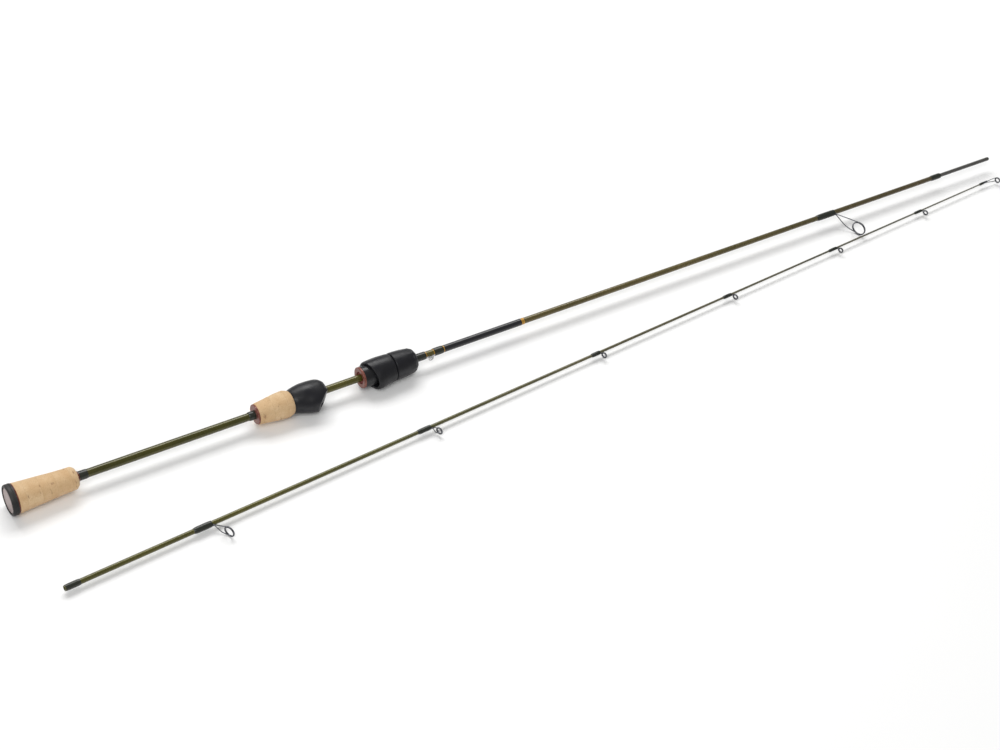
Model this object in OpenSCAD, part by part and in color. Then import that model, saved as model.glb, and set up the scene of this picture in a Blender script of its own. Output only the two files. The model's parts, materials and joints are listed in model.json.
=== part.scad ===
// Two-piece light spinning rod, taken apart.
// Each section is drawn along its own axis, from its handle end, and then laid on the
// floor (Z = 0). Along both sections +X is the side that the line guides stand on.

/* [Layout] */
// Butt cap's end face to the origin
butt_back = 509; // [480:1:540]
// Butt section's axis, sideways from the origin
butt_side = 44; // [40:1:60]
// Butt section's axis above the floor
butt_height = 12.5; // [12.5:0.1:14]
// Roll of the butt section's guides below level
butt_roll = 12; // [6:1:12]
// Lower end of the tip section behind the origin
tip_back = 503.4; // [480:0.1:520]
// Lower end of the tip section, sideways from the origin
tip_side = -46.6; // [-70:0.1:-46]
// Tip section's axis above the floor
tip_height = 5; // [5:0.1:8]
// Angle between the two sections
tip_yaw = 4; // [1:0.1:4]

/* [Butt blank] */
// Length of the butt blank from the cap's face
butt_length = 952; // [940:1:960]
// Blank radius at the cap
butt_r_start = 3.55; // [3.5:0.05:3.7]
// Blank radius at the ferrule
butt_r_end = 2.25; // [2.2:0.05:2.35]

/* [Rear grip] */
// Largest radius of the rubber cap
cap_r = 12.5; // [12:0.1:12.5]
// Thickness of the rubber cap
cap_length = 5; // [4.5:0.1:6]
// Radius of the recess in the cap's face
cap_recess_r = 10.3; // [9:0.1:10.8]
// Front face of the rear cork
rear_cork_end = 54.5; // [53:0.5:60]

/* [Reel seat] */
// Rear face of the seat cork
seat_cork_start = 207.5; // [200:0.5:210]
// Rear face of the fixed hood
fixed_hood_start = 238; // [237:0.5:240]
// Rear face of the threaded barrel's end ring
barrel_start = 302; // [301:0.1:303]
// Barrel radius over the thread crests
barrel_r = 9.1; // [9:0.05:9.1]
// Radial running gap of the hood and the nut on the barrel
barrel_gap = 0.05; // [0.03:0.01:0.1]
// Thread pitch
thread_pitch = 2; // [1.5:0.25:2]
// Rear rim of the moving hood
moving_hood_start = 307; // [306.5:0.1:307.5]
// Half width of a reel foot
foot_half_w = 6.5; // [5.5:0.1:6.5]

/* [Hook keeper] */
// Middle of the keeper along the rod
keeper_x = 368.7; // [368.5:0.1:369]
// Keeper hinge to the rod's axis
keeper_hinge = 4; // [3.95:0.05:4.2]
// Half width of the keeper loop, to the wire's middle
keeper_half = 2.1; // [1.8:0.1:2.2]
// Radius of the keeper wire
keeper_wire = 0.4; // [0.35:0.01:0.4]

/* [Stripping guide] */
// Front end of its thread wrap
strip_wrap_end = 815.6; // [810:0.1:820]
// Ring centre to the rod's axis
strip_h = 25.1; // [20:0.1:25.5]
// Ring centre ahead of the wrap
strip_lead = 12.4; // [10:0.1:14]
// Lean of the ring towards the tip
strip_tilt = 18; // [10:1:20]
// Outer radius of the ring's frame
strip_r = 7; // [6:0.1:7]

/* [Ferrule] */
// Spigot radius
spigot_r = 1.77; // [1.7:0.01:1.77]
// Free length of the spigot
spigot_free = 66.5; // [60:0.5:68]
// Radial gap of the spigot in its socket
socket_gap = 0.02; // [0.01:0.01:0.04]
// Depth of the socket
socket_depth = 70; // [69:0.5:72]

/* [Tip section] */
// Length of the tip blank
tip_length = 992; // [985:1:1000]
// Blank radius at the socket
tip_r_start = 2.2; // [2.15:0.01:2.3]
// Blank radius at the tip top
tip_r_end = 0.7; // [0.65:0.01:0.75]
// Build-up of a guide's thread wrap on the blank
wrap_build = 0.58; // [0.55:0.01:0.7]
// Lean of the small guide rings towards the tip
guide_tilt = 12; // [5:1:15]
// Tip top ring, distance to the rod's axis
tip_top_h = 3.9; // [3.6:0.1:4.2]
// Outer radius of the tip top's ring frame
tip_top_r = 2.9; // [2.7:0.1:3]

/* [Hidden] */
$fn = 64;
through = 40;

// Outer and inner radius of each blank at some distances along it
butt_taper = [[3, butt_r_start], [300, 3.1], [470, 2.72], [650, 2.45], [butt_length, butt_r_end]];
spigot_seat_r = spigot_r - 0.2;
butt_hollow = [[3, 2.75], [300, 2.35], [470, 2], [650, 1.85], [880, spigot_seat_r],
               [butt_length, spigot_seat_r]];
tip_taper = [[0, tip_r_start], [130, 1.97], [300, 1.6], [500, 1.25], [700, 0.95], [tip_length, tip_r_end]];
socket_r = spigot_r + socket_gap;
spigot_start = 895;
tip_hollow = [[0, socket_r], [socket_depth, socket_r], [socket_depth + 4, 1.35], [300, 1.1],
              [500, 0.75], [700, 0.5], [702, 0]];

// Rear grip
cap_check_end = cap_length + 1;
cork_check_end = rear_cork_end + 2;
cork_wrap_end = cork_check_end + 7;

// Reel seat
seat_wrap_start = 200.3;
seat_check_start = seat_cork_start - 1.5;
bush_r = 5.2;
bulge_off = 4;
pocket_r = 8.2;
fixed_pocket_start = fixed_hood_start + 10;
visor_angle = 41.5;
barrel_ring_end = barrel_start + 2;
barrel_end = 345.5;
bore_r = barrel_r + barrel_gap;
hood_end = moving_hood_start + 24.8;
nut_start = hood_end + 0.4;
nut_sleeve_r = 10.3;
nut_sleeve = 2.7;
nut_end = nut_start + 22.2;
nut_cavity_end = nut_end - 3.8;
nut_mouth_r = 5;

// Keeper and label
seat_front_wrap = [347.5, 364.6];
keeper_front_wrap = [372.9, 382];
label = [382.8, 460.4];
film = 0.12;
keeper_drop = 0.8;
keeper_tube_r = 0.85;

// Guides on the tip section, from the socket towards the tip
GUIDES = [0, 1, 2, 3, 4, 5];
guide_wrap_end = [122.2, 324.9, 502.2, 654.6, 787.5, 902.2];
guide_wrap_len = [15.5, 12.8, 9, 9.5, 10, 9.7];
guide_lead = [7.4, 4, 1.5, 1.5, 1.5, 1.5];
guide_h = [13.8, 7.3, 4.8, 4.7, 4.7, 4.7];
guide_r = [4.8, 3.3, 2.8, 2.7, 2.6, 2.6];
guide_lean = [20, guide_tilt, guide_tilt, guide_tilt, guide_tilt, guide_tilt];
guide_wire = [0.42, 0.36, 0.32, 0.3, 0.3, 0.3];
guide_foot_w = [2.2, 1.8, 1.5, 1.3, 1.2, 1.1];
foot_t = 0.42;
foot_out = 0.8;
insert_wall = 0.62;
band_wall = 0.5;

// Tip top
tip_wrap = [985.5, 990.5];
tip_tube_end = 997;
tip_top_x = 1007.8;

// ---------- places ----------

// From a section's own axis (+Z along the rod, +X to the guides) to the floor frame
module on_butt() {
    translate([-butt_back, butt_side, butt_height])
        rotate([butt_roll - 90, 0, 0]) rotate([0, 90, 0]) children();
}

module on_tip() {
    translate([-tip_back, tip_side, tip_height])
        rotate([0, 0, tip_yaw]) rotate([-90, 0, 0]) rotate([0, 90, 0]) children();
}

// ---------- shared shapes ----------

function butt_r(x) = lookup(x, butt_taper);
function tip_r(x) = lookup(x, tip_taper);
function backwards(list) = [for (i = [len(list) - 1 : -1 : 0]) list[i]];
function swapped(list) = [for (p = list) [p[1], p[0]]];

// A solid of revolution from points of [radius, distance along the rod]
module turned(points) {
    rotate_extrude() polygon(points);
}

module butt_core() {
    turned(concat([[0, 3]], swapped(butt_taper), [[0, butt_length]]));
}

module tip_core() {
    turned(concat([[0, 0]], swapped(tip_taper), [[0, tip_length]]));
}

// A ring bored for the blank, with broken outer edges
module collar(from, to, r, edge = 0.2) {
    turned([[0, from], [r - edge, from], [r, from + edge], [r, to - edge], [r - edge, to], [0, to]]);
}

// Thread under varnish: thin at both ends, where the varnish runs out
module wrap_body(from, to, r, r_from, r_to, ramp = 1.2) {
    turned([[0, from], [r_from, from], [r, from + ramp], [r, to - ramp], [r_to, to], [0, to]]);
}

// Round wire through a list of points
module wire(points, r) {
    for (i = [1 : len(points) - 1]) {
        run = points[i] - points[i - 1];
        translate(points[i - 1])
            rotate([0, acos(run[2] / norm(run)), atan2(run[1], run[0])])
                cylinder(r = r, h = norm(run));
        translate(points[i]) sphere(r = r * 1.06);
    }
}

// ---------- line guides ----------

// Puts a ring's own frame at its place, leaning towards the tip
module at_ring(x, h, tilt) {
    translate([h, 0, x]) rotate([0, -tilt, 0]) children();
}

// The polished inner ring, with a short straight wall and rounded-off edges
module ring_insert(r, half, straight) {
    edge = half - straight;
    turned([[r, -straight], [r + edge, -half], [r + insert_wall, -half],
            [r + insert_wall, half], [r + edge, half], [r, straight]]);
}

// The band that holds the inner ring
module ring_band(r_out, half) {
    turned([[r_out - band_wall, -half], [r_out - 0.15, -half], [r_out, -half + 0.15],
            [r_out, half - 0.15], [r_out - 0.15, half], [r_out - band_wall, half]]);
}

// A point on the ring's band, turned from its far side
function on_band(x, h, tilt, r, turn) =
    [h + r * cos(turn) * cos(tilt), r * sin(turn), x + r * cos(turn) * sin(tilt)];

// One leg: from the foot, bowed, to the side of the ring
function leg_route(start, finish, side, bow) = [
    start,
    start + [0.5, side * 0.55, 0.9],
    (start * 0.45 + finish * 0.55) + [bow * 0.2, side * bow, -bow * 0.6],
    finish];

module guide_leg_pair(start, x, h, tilt, r, turn, bow, wire_r) {
    for (side = [-1, 1])
        wire(leg_route(start, on_band(x, h, tilt, r, side * turn), side, bow), wire_r);
}

// The flat foot on the blank, under the thread
module guide_foot(from, to, r_blank, w) {
    intersection() {
        turned([[0, from], [r_blank + 0.08, from], [r_blank + foot_t, from + 2.5],
                [r_blank + foot_t, to + foot_out], [0, to + foot_out]]);
        translate([0, -w / 2, from - 1]) cube([through, w, to - from + 2]);
    }
}

// ---------- rear grip ----------

module butt_cap() {
    color([0.2, 0.2, 0.2]) on_butt() difference() {
        turned([[0, 1.2], [cap_recess_r, 1.2], [cap_recess_r, 0], [cap_r - 1.1, 0],
                [cap_r - 0.3, 0.35], [cap_r, 1.2], [cap_r, cap_length - 0.3],
                [cap_r - 0.2, cap_length], [0, cap_length]]);
        butt_core();
    }
}

module butt_cap_plate() {
    color([0.8, 0.72, 0.7]) on_butt()
        turned([[0, 0.45], [cap_recess_r - 0.4, 0.45], [cap_recess_r - 0.1, 0.7],
                [cap_recess_r - 0.1, 1.2], [0, 1.2]]);
}

module butt_cap_check() {
    color([0.43, 0.24, 0.18]) on_butt() difference() {
        collar(cap_length, cap_check_end, cap_r - 0.25);
        butt_core();
    }
}

module butt_cork() {
    front = rear_cork_end;
    color([0.76, 0.62, 0.44]) on_butt() difference() {
        turned([[0, cap_check_end], [12.1, cap_check_end], [11.9, 8], [11.45, 14], [11.05, 20],
                [10.7, 26], [10.2, 32], [9.75, 38], [9.45, 44], [9.25, front - 3.5],
                [8.95, front - 1.6], [8.3, front - 0.5], [7.4, front], [0, front]]);
        butt_core();
    }
}

module butt_cork_check() {
    color([0.43, 0.2, 0.16]) on_butt() difference() {
        collar(rear_cork_end, cork_check_end, 4.3, 0.4);
        butt_core();
    }
}

module butt_cork_wrap() {
    color([0.22, 0.23, 0.2]) on_butt() difference() {
        wrap_body(cork_check_end, cork_wrap_end, 3.85, 3.85, butt_r(cork_wrap_end) + 0.1);
        butt_core();
    }
}

module butt_blank() {
    color([0.36, 0.37, 0.16]) on_butt()
        turned(concat(swapped(butt_taper), backwards(swapped(butt_hollow))));
}

// ---------- reel seat ----------

module seat_rear_wrap() {
    color([0.22, 0.23, 0.2]) on_butt() difference() {
        wrap_body(seat_wrap_start, seat_check_start, 3.8, butt_r(seat_wrap_start) + 0.1, 3.8);
        butt_core();
    }
}

module seat_cork_check() {
    color([0.5, 0.3, 0.25]) on_butt() difference() {
        collar(seat_check_start, seat_cork_start, 8.5, 0.5);
        butt_core();
    }
}

module seat_cork() {
    rear = seat_cork_start;
    front = fixed_hood_start;
    color([0.8, 0.68, 0.52]) on_butt() difference() {
        turned([[0, rear], [8.6, rear], [8.85, rear + 1], [9.2, rear + 5], [9.9, rear + 10.5],
                [10.8, rear + 17], [11.2, rear + 22], [11.3, rear + 26], [11, front - 4],
                [10.4, front - 1.5], [9.6, front], [0, front]]);
        butt_core();
    }
}

// The space that one end of a reel's foot takes: a crescent over the barrel's radius
module foot_pocket(from, to) {
    intersection() {
        translate([bulge_off, 0, from]) cylinder(r = pocket_r, h = to - from);
        translate([0, -foot_half_w, from]) cube([through, 2 * foot_half_w, to - from]);
    }
}

module fixed_hood() {
    rear = fixed_hood_start;
    front = rear + 31;
    color([0.17, 0.17, 0.19]) on_butt() difference() {
        union() {
            turned([[0, rear], [9.6, rear], [10.4, rear + 2], [11.1, rear + 5], [11.8, rear + 9],
                    [12.1, rear + 13], [12, rear + 19], [11.5, rear + 24.5], [10.6, rear + 27.5],
                    [8.8, rear + 30], [7, front], [0, front]]);
            translate([bulge_off, 0, 0])
                turned([[0, rear + 3], [6.4, rear + 3], [8.4, rear + 7], [10.1, rear + 12],
                        [11, rear + 16], [11.3, rear + 21], [10.6, rear + 26], [9.2, rear + 29],
                        [7.6, front], [0, front]]);
        }
        // The visor over the foot is cut off on a slant
        translate([13.5, 0, rear + 20.5]) rotate([0, -visor_angle, 0])
            translate([0, -through / 2, -through / 2]) cube(through);
        difference() {
            foot_pocket(fixed_pocket_start, front + 2);
            cylinder(r = barrel_r, h = front);
        }
        translate([0, 0, rear - 1]) cylinder(r = bush_r, h = front - rear - 3);
        butt_clear(rear, front + 2);
    }
}

// A hole that the blank passes with a little room
module butt_clear(from, to) {
    translate([0, 0, from]) cylinder(r = butt_r(from) + 0.1, h = to - from);
}

module bush(from, to) {
    difference() {
        translate([0, 0, from]) cylinder(r = bush_r, h = to - from);
        butt_core();
    }
}

module fixed_hood_arbor() {
    color([0.24, 0.05, 0.05]) on_butt() bush(fixed_hood_start, fixed_hood_start + 27);
}

module seat_barrel() {
    groove = 0.55;
    color([0.19, 0.19, 0.2]) on_butt() difference() {
        turned([[bush_r, barrel_ring_end], [barrel_r, barrel_ring_end], [barrel_r, barrel_end - 0.6],
                [barrel_r - 0.6, barrel_end], [bush_r, barrel_end]]);
        for (x = [barrel_end - 2 : -thread_pitch : nut_start - 6])
            turned([[barrel_r - groove, x], [barrel_r + 1, x + groove + 0.2],
                    [barrel_r + 1, x - groove - 0.2]]);
    }
}

module barrel_ring() {
    color([0.52, 0.33, 0.29]) on_butt()
        turned([[bush_r, barrel_start + 0.5], [bush_r + 0.5, barrel_start], [barrel_r - 0.4, barrel_start],
                [barrel_r, barrel_start + 0.4], [barrel_r, barrel_ring_end], [bush_r, barrel_ring_end]]);
}

module barrel_arbor() {
    color([0.24, 0.05, 0.05]) on_butt() bush(barrel_start + 1.2, barrel_end - 1);
}

module moving_hood() {
    rear = moving_hood_start;
    front = hood_end;
    color([0.17, 0.17, 0.19]) on_butt() difference() {
        union() {
            turned([[0, rear], [10.4, rear], [10.9, rear + 0.8], [11.7, rear + 3], [12.1, rear + 9],
                    [12.2, rear + 14], [12, rear + 20], [11.8, front - 0.3], [11.6, front], [0, front]]);
            translate([bulge_off, 0, 0])
                turned([[0, rear], [9.2, rear], [9.9, rear + 5], [10.7, rear + 9], [10.4, rear + 12],
                        [9.6, rear + 16], [8.6, rear + 22], [8.2, front - 0.3], [8, front],
                        [0, front]]);
        }
        // The rear rim slants: it is cut back over the foot
        translate([-13, 0, rear]) rotate([0, -15, 0]) translate([0, -through / 2, -through])
            cube([through, through, through]);
        translate([0, 0, rear - 1]) cylinder(r = bore_r, h = front - rear + 2);
        translate([0, 0, front - nut_sleeve]) cylinder(r = nut_sleeve_r + 0.3, h = nut_sleeve + 1);
        foot_pocket(rear - 1, rear + 14);
    }
}

module lock_nut() {
    color([0.17, 0.17, 0.19]) on_butt()
        turned([[bore_r, nut_start - nut_sleeve + 0.3], [nut_sleeve_r, nut_start - nut_sleeve + 0.3],
                [nut_sleeve_r, nut_start], [11.7, nut_start], [11.9, nut_start + 0.3],
                [11.9, nut_start + 4], [11.7, nut_start + 9], [11.3, nut_start + 14],
                [10.8, nut_start + 17.5], [9.9, nut_end - 2.4], [8.5, nut_end - 0.8], [7, nut_end],
                [nut_mouth_r, nut_end],
                [nut_mouth_r, nut_cavity_end], [bore_r, nut_cavity_end]]);
}

module seat_front_wrap() {
    color([0.24, 0.25, 0.22]) on_butt() difference() {
        wrap_body(seat_front_wrap[0], seat_front_wrap[1], 3.45, 3.45, 3.3, 0.6);
        butt_core();
        keeper_foot();
    }
}

// ---------- hook keeper and label ----------

module keeper_foot() {
    difference() {
        for (side = [-1, 1])
            translate([0, -1.1, keeper_x + side * 4.4 - 3.3])
                cube([butt_r(keeper_x) + 0.3, 2.2, 6.6]);
        butt_core();
    }
}

module keeper_base() {
    color([0.6, 0.6, 0.6]) on_butt() difference() {
        union() {
            keeper_foot();
            translate([keeper_hinge, 0, keeper_x - 1.2]) cylinder(r = keeper_tube_r, h = 2.4);
            translate([2.5, -0.7, keeper_x - 1.2]) cube([1.3, 1.4, 2.4]);
        }
        translate([keeper_hinge, 0, keeper_x - 3]) cylinder(r = keeper_wire + 0.05, h = 6);
        butt_core();
    }
}

module keeper_ring() {
    color([0.75, 0.75, 0.76]) on_butt()
        translate([keeper_hinge, 0, keeper_x]) rotate([0, 0, 90 - butt_roll]) union() {
            wire([[keeper_drop, 0, -keeper_half], [0, 0, -keeper_half], [0, 0, keeper_half],
                  [keeper_drop, 0, keeper_half]], keeper_wire);
            translate([keeper_drop, 0, 0]) difference() {
                rotate([90, 0, 0]) rotate_extrude() translate([keeper_half, 0]) circle(r = keeper_wire);
                translate([-through, -through / 2, -through / 2]) cube([through, through, through]);
            }
        }
}

module keeper_front_wrap() {
    color([0.24, 0.25, 0.22]) on_butt() difference() {
        wrap_body(keeper_front_wrap[0], keeper_front_wrap[1], 3.43, 3.3, 3.1, 0.6);
        butt_core();
        keeper_foot();
    }
}

module keeper_trim() {
    color([0.78, 0.68, 0.42]) on_butt() difference() {
        for (x = [seat_front_wrap[1], keeper_front_wrap[0] - 0.7])
            collar(x, x + 0.7, butt_r(x) + 0.22, 0.1);
        butt_core();
        keeper_foot();
    }
}

module label_sleeve() {
    color([0.2, 0.2, 0.21]) on_butt() difference() {
        turned([[0, label[0]], [butt_r(label[0]) + film, label[0]],
                [butt_r(label[1]) + film, label[1]], [0, label[1]]]);
        butt_core();
    }
}

module label_trim() {
    color([0.8, 0.64, 0.28]) on_butt() difference() {
        for (band = [[keeper_front_wrap[1], label[0]], [label[1], label[1] + 3.1]])
            turned([[0, band[0]], [butt_r(band[0]) + film, band[0]],
                    [butt_r(band[1]) + film, band[1]], [0, band[1]]]);
        butt_core();
    }
}

// ---------- stripping guide ----------

module strip_foot() {
    guide_foot(strip_wrap_end - 20, strip_wrap_end, butt_r(strip_wrap_end), 3);
}

module stripping_guide_wrap() {
    start = strip_wrap_end - 21.4;
    color([0.22, 0.23, 0.2]) on_butt() difference() {
        wrap_body(start, strip_wrap_end, 2.95, butt_r(start) + 0.08, butt_r(strip_wrap_end) + foot_t, 1.5);
        butt_core();
        strip_foot();
    }
}

module stripping_guide_frame() {
    ring_x = strip_wrap_end + strip_lead;
    color([0.4, 0.4, 0.42]) on_butt() difference() {
        union() {
            strip_foot();
            guide_leg_pair([butt_r(strip_wrap_end) + 0.42, 0, strip_wrap_end + 0.5], ring_x, strip_h,
                           strip_tilt, strip_r - 0.25, 100, 1.3, 0.46);
            at_ring(ring_x, strip_h, strip_tilt) ring_band(strip_r, 0.75);
        }
        butt_core();
        at_ring(ring_x, strip_h, strip_tilt) cylinder(r = strip_r - band_wall, h = 3, center = true);
    }
}

module stripping_guide_ring() {
    color([0.34, 0.34, 0.36]) on_butt()
        at_ring(strip_wrap_end + strip_lead, strip_h, strip_tilt)
            ring_insert(strip_r - band_wall - insert_wall, 0.95, 0.6);
}

// ---------- ferrule ----------

module ferrule_wrap() {
    color([0.24, 0.24, 0.22]) on_butt() difference() {
        wrap_body(butt_length - 12, butt_length, 2.7, butt_r(butt_length - 12) + 0.08, 2.55, 0.8);
        butt_core();
    }
}

module spigot() {
    end = butt_length + spigot_free;
    shoulder = butt_length + 1.2;
    color([0.28, 0.28, 0.27]) on_butt()
        turned([[0, spigot_start], [spigot_seat_r, spigot_start], [spigot_seat_r, shoulder],
                [spigot_r, shoulder], [spigot_r, end - 1.2], [spigot_r - 0.3, end - 0.5],
                [spigot_r - 0.9, end], [0, end]]);
}

// ---------- tip section ----------

module tip_blank() {
    color([0.36, 0.35, 0.24]) on_tip()
        turned(concat(swapped(tip_taper), [[0, tip_length]], backwards(swapped(tip_hollow))));
}

module socket_wrap() {
    color([0.22, 0.23, 0.2]) on_tip() difference() {
        wrap_body(0.8, 12.6, 2.58, 2.4, tip_r(12.6) + 0.08, 0.8);
        tip_core();
    }
}

function tip_guide_base(i) = tip_r(guide_wrap_end[i]);

module tip_guide_foot(i) {
    end = guide_wrap_end[i];
    guide_foot(end - guide_wrap_len[i] + 1, end, tip_guide_base(i), guide_foot_w[i]);
}

module tip_guide_wrap(i) {
    end = guide_wrap_end[i];
    start = end - guide_wrap_len[i];
    build = i == 0 ? wrap_build + 0.1 : wrap_build;
    color([0.22, 0.23, 0.2]) on_tip() difference() {
        wrap_body(start, end, tip_guide_base(i) + build, tip_r(start) + 0.06,
                  tip_guide_base(i) + foot_t, 1.4);
        tip_core();
        tip_guide_foot(i);
    }
}

module tip_guide_frame(i) {
    end = guide_wrap_end[i];
    x = end + guide_lead[i];
    turn = i < 2 ? 100 : 125;
    color([0.45, 0.45, 0.47]) on_tip() difference() {
        union() {
            tip_guide_foot(i);
            guide_leg_pair([tip_guide_base(i) + guide_wire[i] + 0.02, 0, end + 0.45], x, guide_h[i], guide_lean[i],
                           guide_r[i] - 0.25, turn, i < 2 ? 0.7 : 0.1, guide_wire[i]);
            at_ring(x, guide_h[i], guide_lean[i]) ring_band(guide_r[i], 0.55);
        }
        tip_core();
        at_ring(x, guide_h[i], guide_lean[i]) cylinder(r = guide_r[i] - band_wall, h = 3, center = true);
    }
}

module tip_guide_ring(i) {
    color([0.36, 0.36, 0.38]) on_tip()
        at_ring(guide_wrap_end[i] + guide_lead[i], guide_h[i], guide_lean[i])
            ring_insert(guide_r[i] - band_wall - insert_wall, 0.75, 0.5);
}

module tip_top_wrap() {
    color([0.22, 0.23, 0.2]) on_tip() difference() {
        wrap_body(tip_wrap[0], tip_wrap[1], 1.3, tip_r_end + 0.1, 1.3, 0.6);
        tip_core();
        translate([0, 0, tip_wrap[0] + 1]) cylinder(r = 1.05, h = 10);
    }
}

module tip_top_tube() {
    x = tip_top_x;
    color([0.6, 0.6, 0.61]) on_tip() difference() {
        union() {
            turned([[0, tip_wrap[0] + 1], [1.05, tip_wrap[0] + 1], [1.05, tip_tube_end - 0.6],
                    [0.6, tip_tube_end], [0, tip_tube_end]]);
            guide_leg_pair([0.2, 0, tip_tube_end - 1], x, tip_top_h, 10, tip_top_r - 0.25, 135, 0.4, 0.34);
            at_ring(x, tip_top_h, 10) ring_band(tip_top_r, 0.6);
        }
        tip_core();
        at_ring(x, tip_top_h, 10) cylinder(r = tip_top_r - band_wall, h = 3, center = true);
    }
}

module tip_top_ring() {
    color([0.36, 0.36, 0.38]) on_tip()
        at_ring(tip_top_x, tip_top_h, 10) ring_insert(tip_top_r - band_wall - insert_wall, 0.8, 0.5);
}

// ---------- nodes ----------

butt_cap();
butt_cap_plate();
butt_cap_check();
butt_cork();
butt_cork_check();
butt_cork_wrap();
butt_blank();
seat_rear_wrap();
seat_cork_check();
seat_cork();
fixed_hood();
fixed_hood_arbor();
seat_barrel();
barrel_ring();
barrel_arbor();
moving_hood();
lock_nut();
seat_front_wrap();
keeper_front_wrap();
keeper_trim();
keeper_base();
keeper_ring();
label_sleeve();
label_trim();
stripping_guide_wrap();
stripping_guide_frame();
stripping_guide_ring();
ferrule_wrap();
spigot();
tip_blank();
socket_wrap();
for (i = GUIDES) {
    tip_guide_wrap(i);
    tip_guide_frame(i);
    tip_guide_ring(i);
}
tip_top_wrap();
tip_top_tube();
tip_top_ring();
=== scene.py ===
import json
import math

import bmesh
import bpy
from mathutils import Matrix, Vector
from mathutils.bvhtree import BVHTree


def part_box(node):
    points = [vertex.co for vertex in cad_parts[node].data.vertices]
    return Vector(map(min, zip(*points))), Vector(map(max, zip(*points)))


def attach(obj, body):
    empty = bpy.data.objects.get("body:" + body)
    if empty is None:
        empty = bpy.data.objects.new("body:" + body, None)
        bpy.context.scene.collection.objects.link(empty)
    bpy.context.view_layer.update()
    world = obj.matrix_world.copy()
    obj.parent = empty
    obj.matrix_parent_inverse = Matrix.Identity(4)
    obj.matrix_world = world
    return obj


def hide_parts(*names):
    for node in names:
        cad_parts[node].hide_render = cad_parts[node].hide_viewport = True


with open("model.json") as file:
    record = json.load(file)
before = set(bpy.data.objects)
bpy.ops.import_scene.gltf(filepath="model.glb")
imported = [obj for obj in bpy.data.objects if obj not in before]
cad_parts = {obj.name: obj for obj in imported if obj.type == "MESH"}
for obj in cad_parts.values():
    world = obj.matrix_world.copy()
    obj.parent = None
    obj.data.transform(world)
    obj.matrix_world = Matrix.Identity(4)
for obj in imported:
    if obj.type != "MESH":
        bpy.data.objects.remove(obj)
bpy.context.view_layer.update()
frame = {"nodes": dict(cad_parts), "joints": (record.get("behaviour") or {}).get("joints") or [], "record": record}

MM = 0.001
TURN = 2 * math.pi
BUTT = "butt_section"
TIP = "tip_section"
RECORD = frame["record"]
BODIES = RECORD["behaviour"]["bodies"]
MOUNTS = {mount["name"]: mount for mount in RECORD["mounts"]}


# ---------- where things are ----------

class Section:
    """One rod section: +Z runs along its axis in millimetres, +X is the side of its guides."""

    def __init__(self, start, along, guide_point):
        out = guide_point - start
        side = (out - along * out.dot(along)).normalized()
        turn = Matrix((side, along.cross(side), along)).transposed().to_4x4()
        self.place = Matrix.Translation(start) @ turn @ Matrix.Scale(MM, 4)
        self.inverse = self.place.inverted()

    def local(self, point):
        return self.inverse @ Vector(point)


def mount_point(name):
    return Vector(MOUNTS[name]["pos_m"])


def butt_axis():
    along = Vector(MOUNTS["spigot"]["axis"])
    start = mount_point("spigot")
    start.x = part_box("butt_cap")[0].x
    return Section(start, along, mount_point("stripping_guide_line_bore"))


def tip_axis():
    socket = MOUNTS["ferrule_socket"]
    along = -Vector(socket["axis"]).normalized()
    start = mount_point("ferrule_socket") - along * socket["dims"]["length_mm"] / 2 * MM
    return Section(start, along, mount_point("guide_1_line_bore"))


SECTIONS = {BUTT: butt_axis(), TIP: tip_axis()}
BODY_OF = {node: body for body, nodes in BODIES.items() for node in nodes}


def section_of(node):
    return SECTIONS[TIP] if BODY_OF[node] == TIP else SECTIONS[BUTT]


class Cad:
    """What a CAD node measures along and round its section's axis, in millimetres."""

    def __init__(self, node):
        mesh = frame["nodes"][node].data
        self.section = section_of(node)
        points = [self.section.local(v.co) for v in mesh.vertices]
        self.z0 = min(p.z for p in points)
        self.z1 = max(p.z for p in points)
        self.r1 = max(math.hypot(p.x, p.y) for p in points)
        self.r0 = min(math.hypot(p.x, p.y) for p in points)
        self.tree = BVHTree.FromPolygons(points, [list(f.vertices) for f in mesh.polygons])

    def radius(self, z, turn=2.4):
        """Outer radius at z, looking from the direction turn."""
        far = 100.0
        way = Vector((math.cos(turn), math.sin(turn), 0))
        hit = self.tree.ray_cast(way * far + Vector((0, 0, z)), -way)[3]
        return far - hit if hit is not None else self.r0

    def outline(self, count, inset=0.05):
        """Outer radius at count places from end to end, as (z, r)."""
        first = self.z0 + inset
        last = self.z1 - inset
        places = [first + (last - first) * i / (count - 1) for i in range(count)]
        return [(z, self.radius(z)) for z in places]


cad_butt = Cad("butt_blank")
cad_tip = Cad("tip_blank")


def blank_radius(node, z):
    blank = cad_tip if BODY_OF[node] == TIP else cad_butt
    return blank.radius(min(max(z, blank.z0 + 0.01), blank.z1 - 0.01))


# ---------- curves and meshes ----------

def smooth_path(points, step):
    """Points about a step apart on a smooth curve through the given points."""
    points = [Vector(p) for p in points]
    ends = [points[0] * 2 - points[1]] + points + [points[-1] * 2 - points[-2]]
    path = [points[0]]
    for a, b, c, d in zip(ends, ends[1:], ends[2:], ends[3:]):
        count = max(1, round((c - b).length / step))
        for i in range(1, count + 1):
            t = i / count
            path.append(0.5 * (2 * b + (c - a) * t + (2 * a - 5 * b + 4 * c - d) * t * t
                               + (3 * b - a - 3 * c + d) * t * t * t))
    return path


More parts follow.
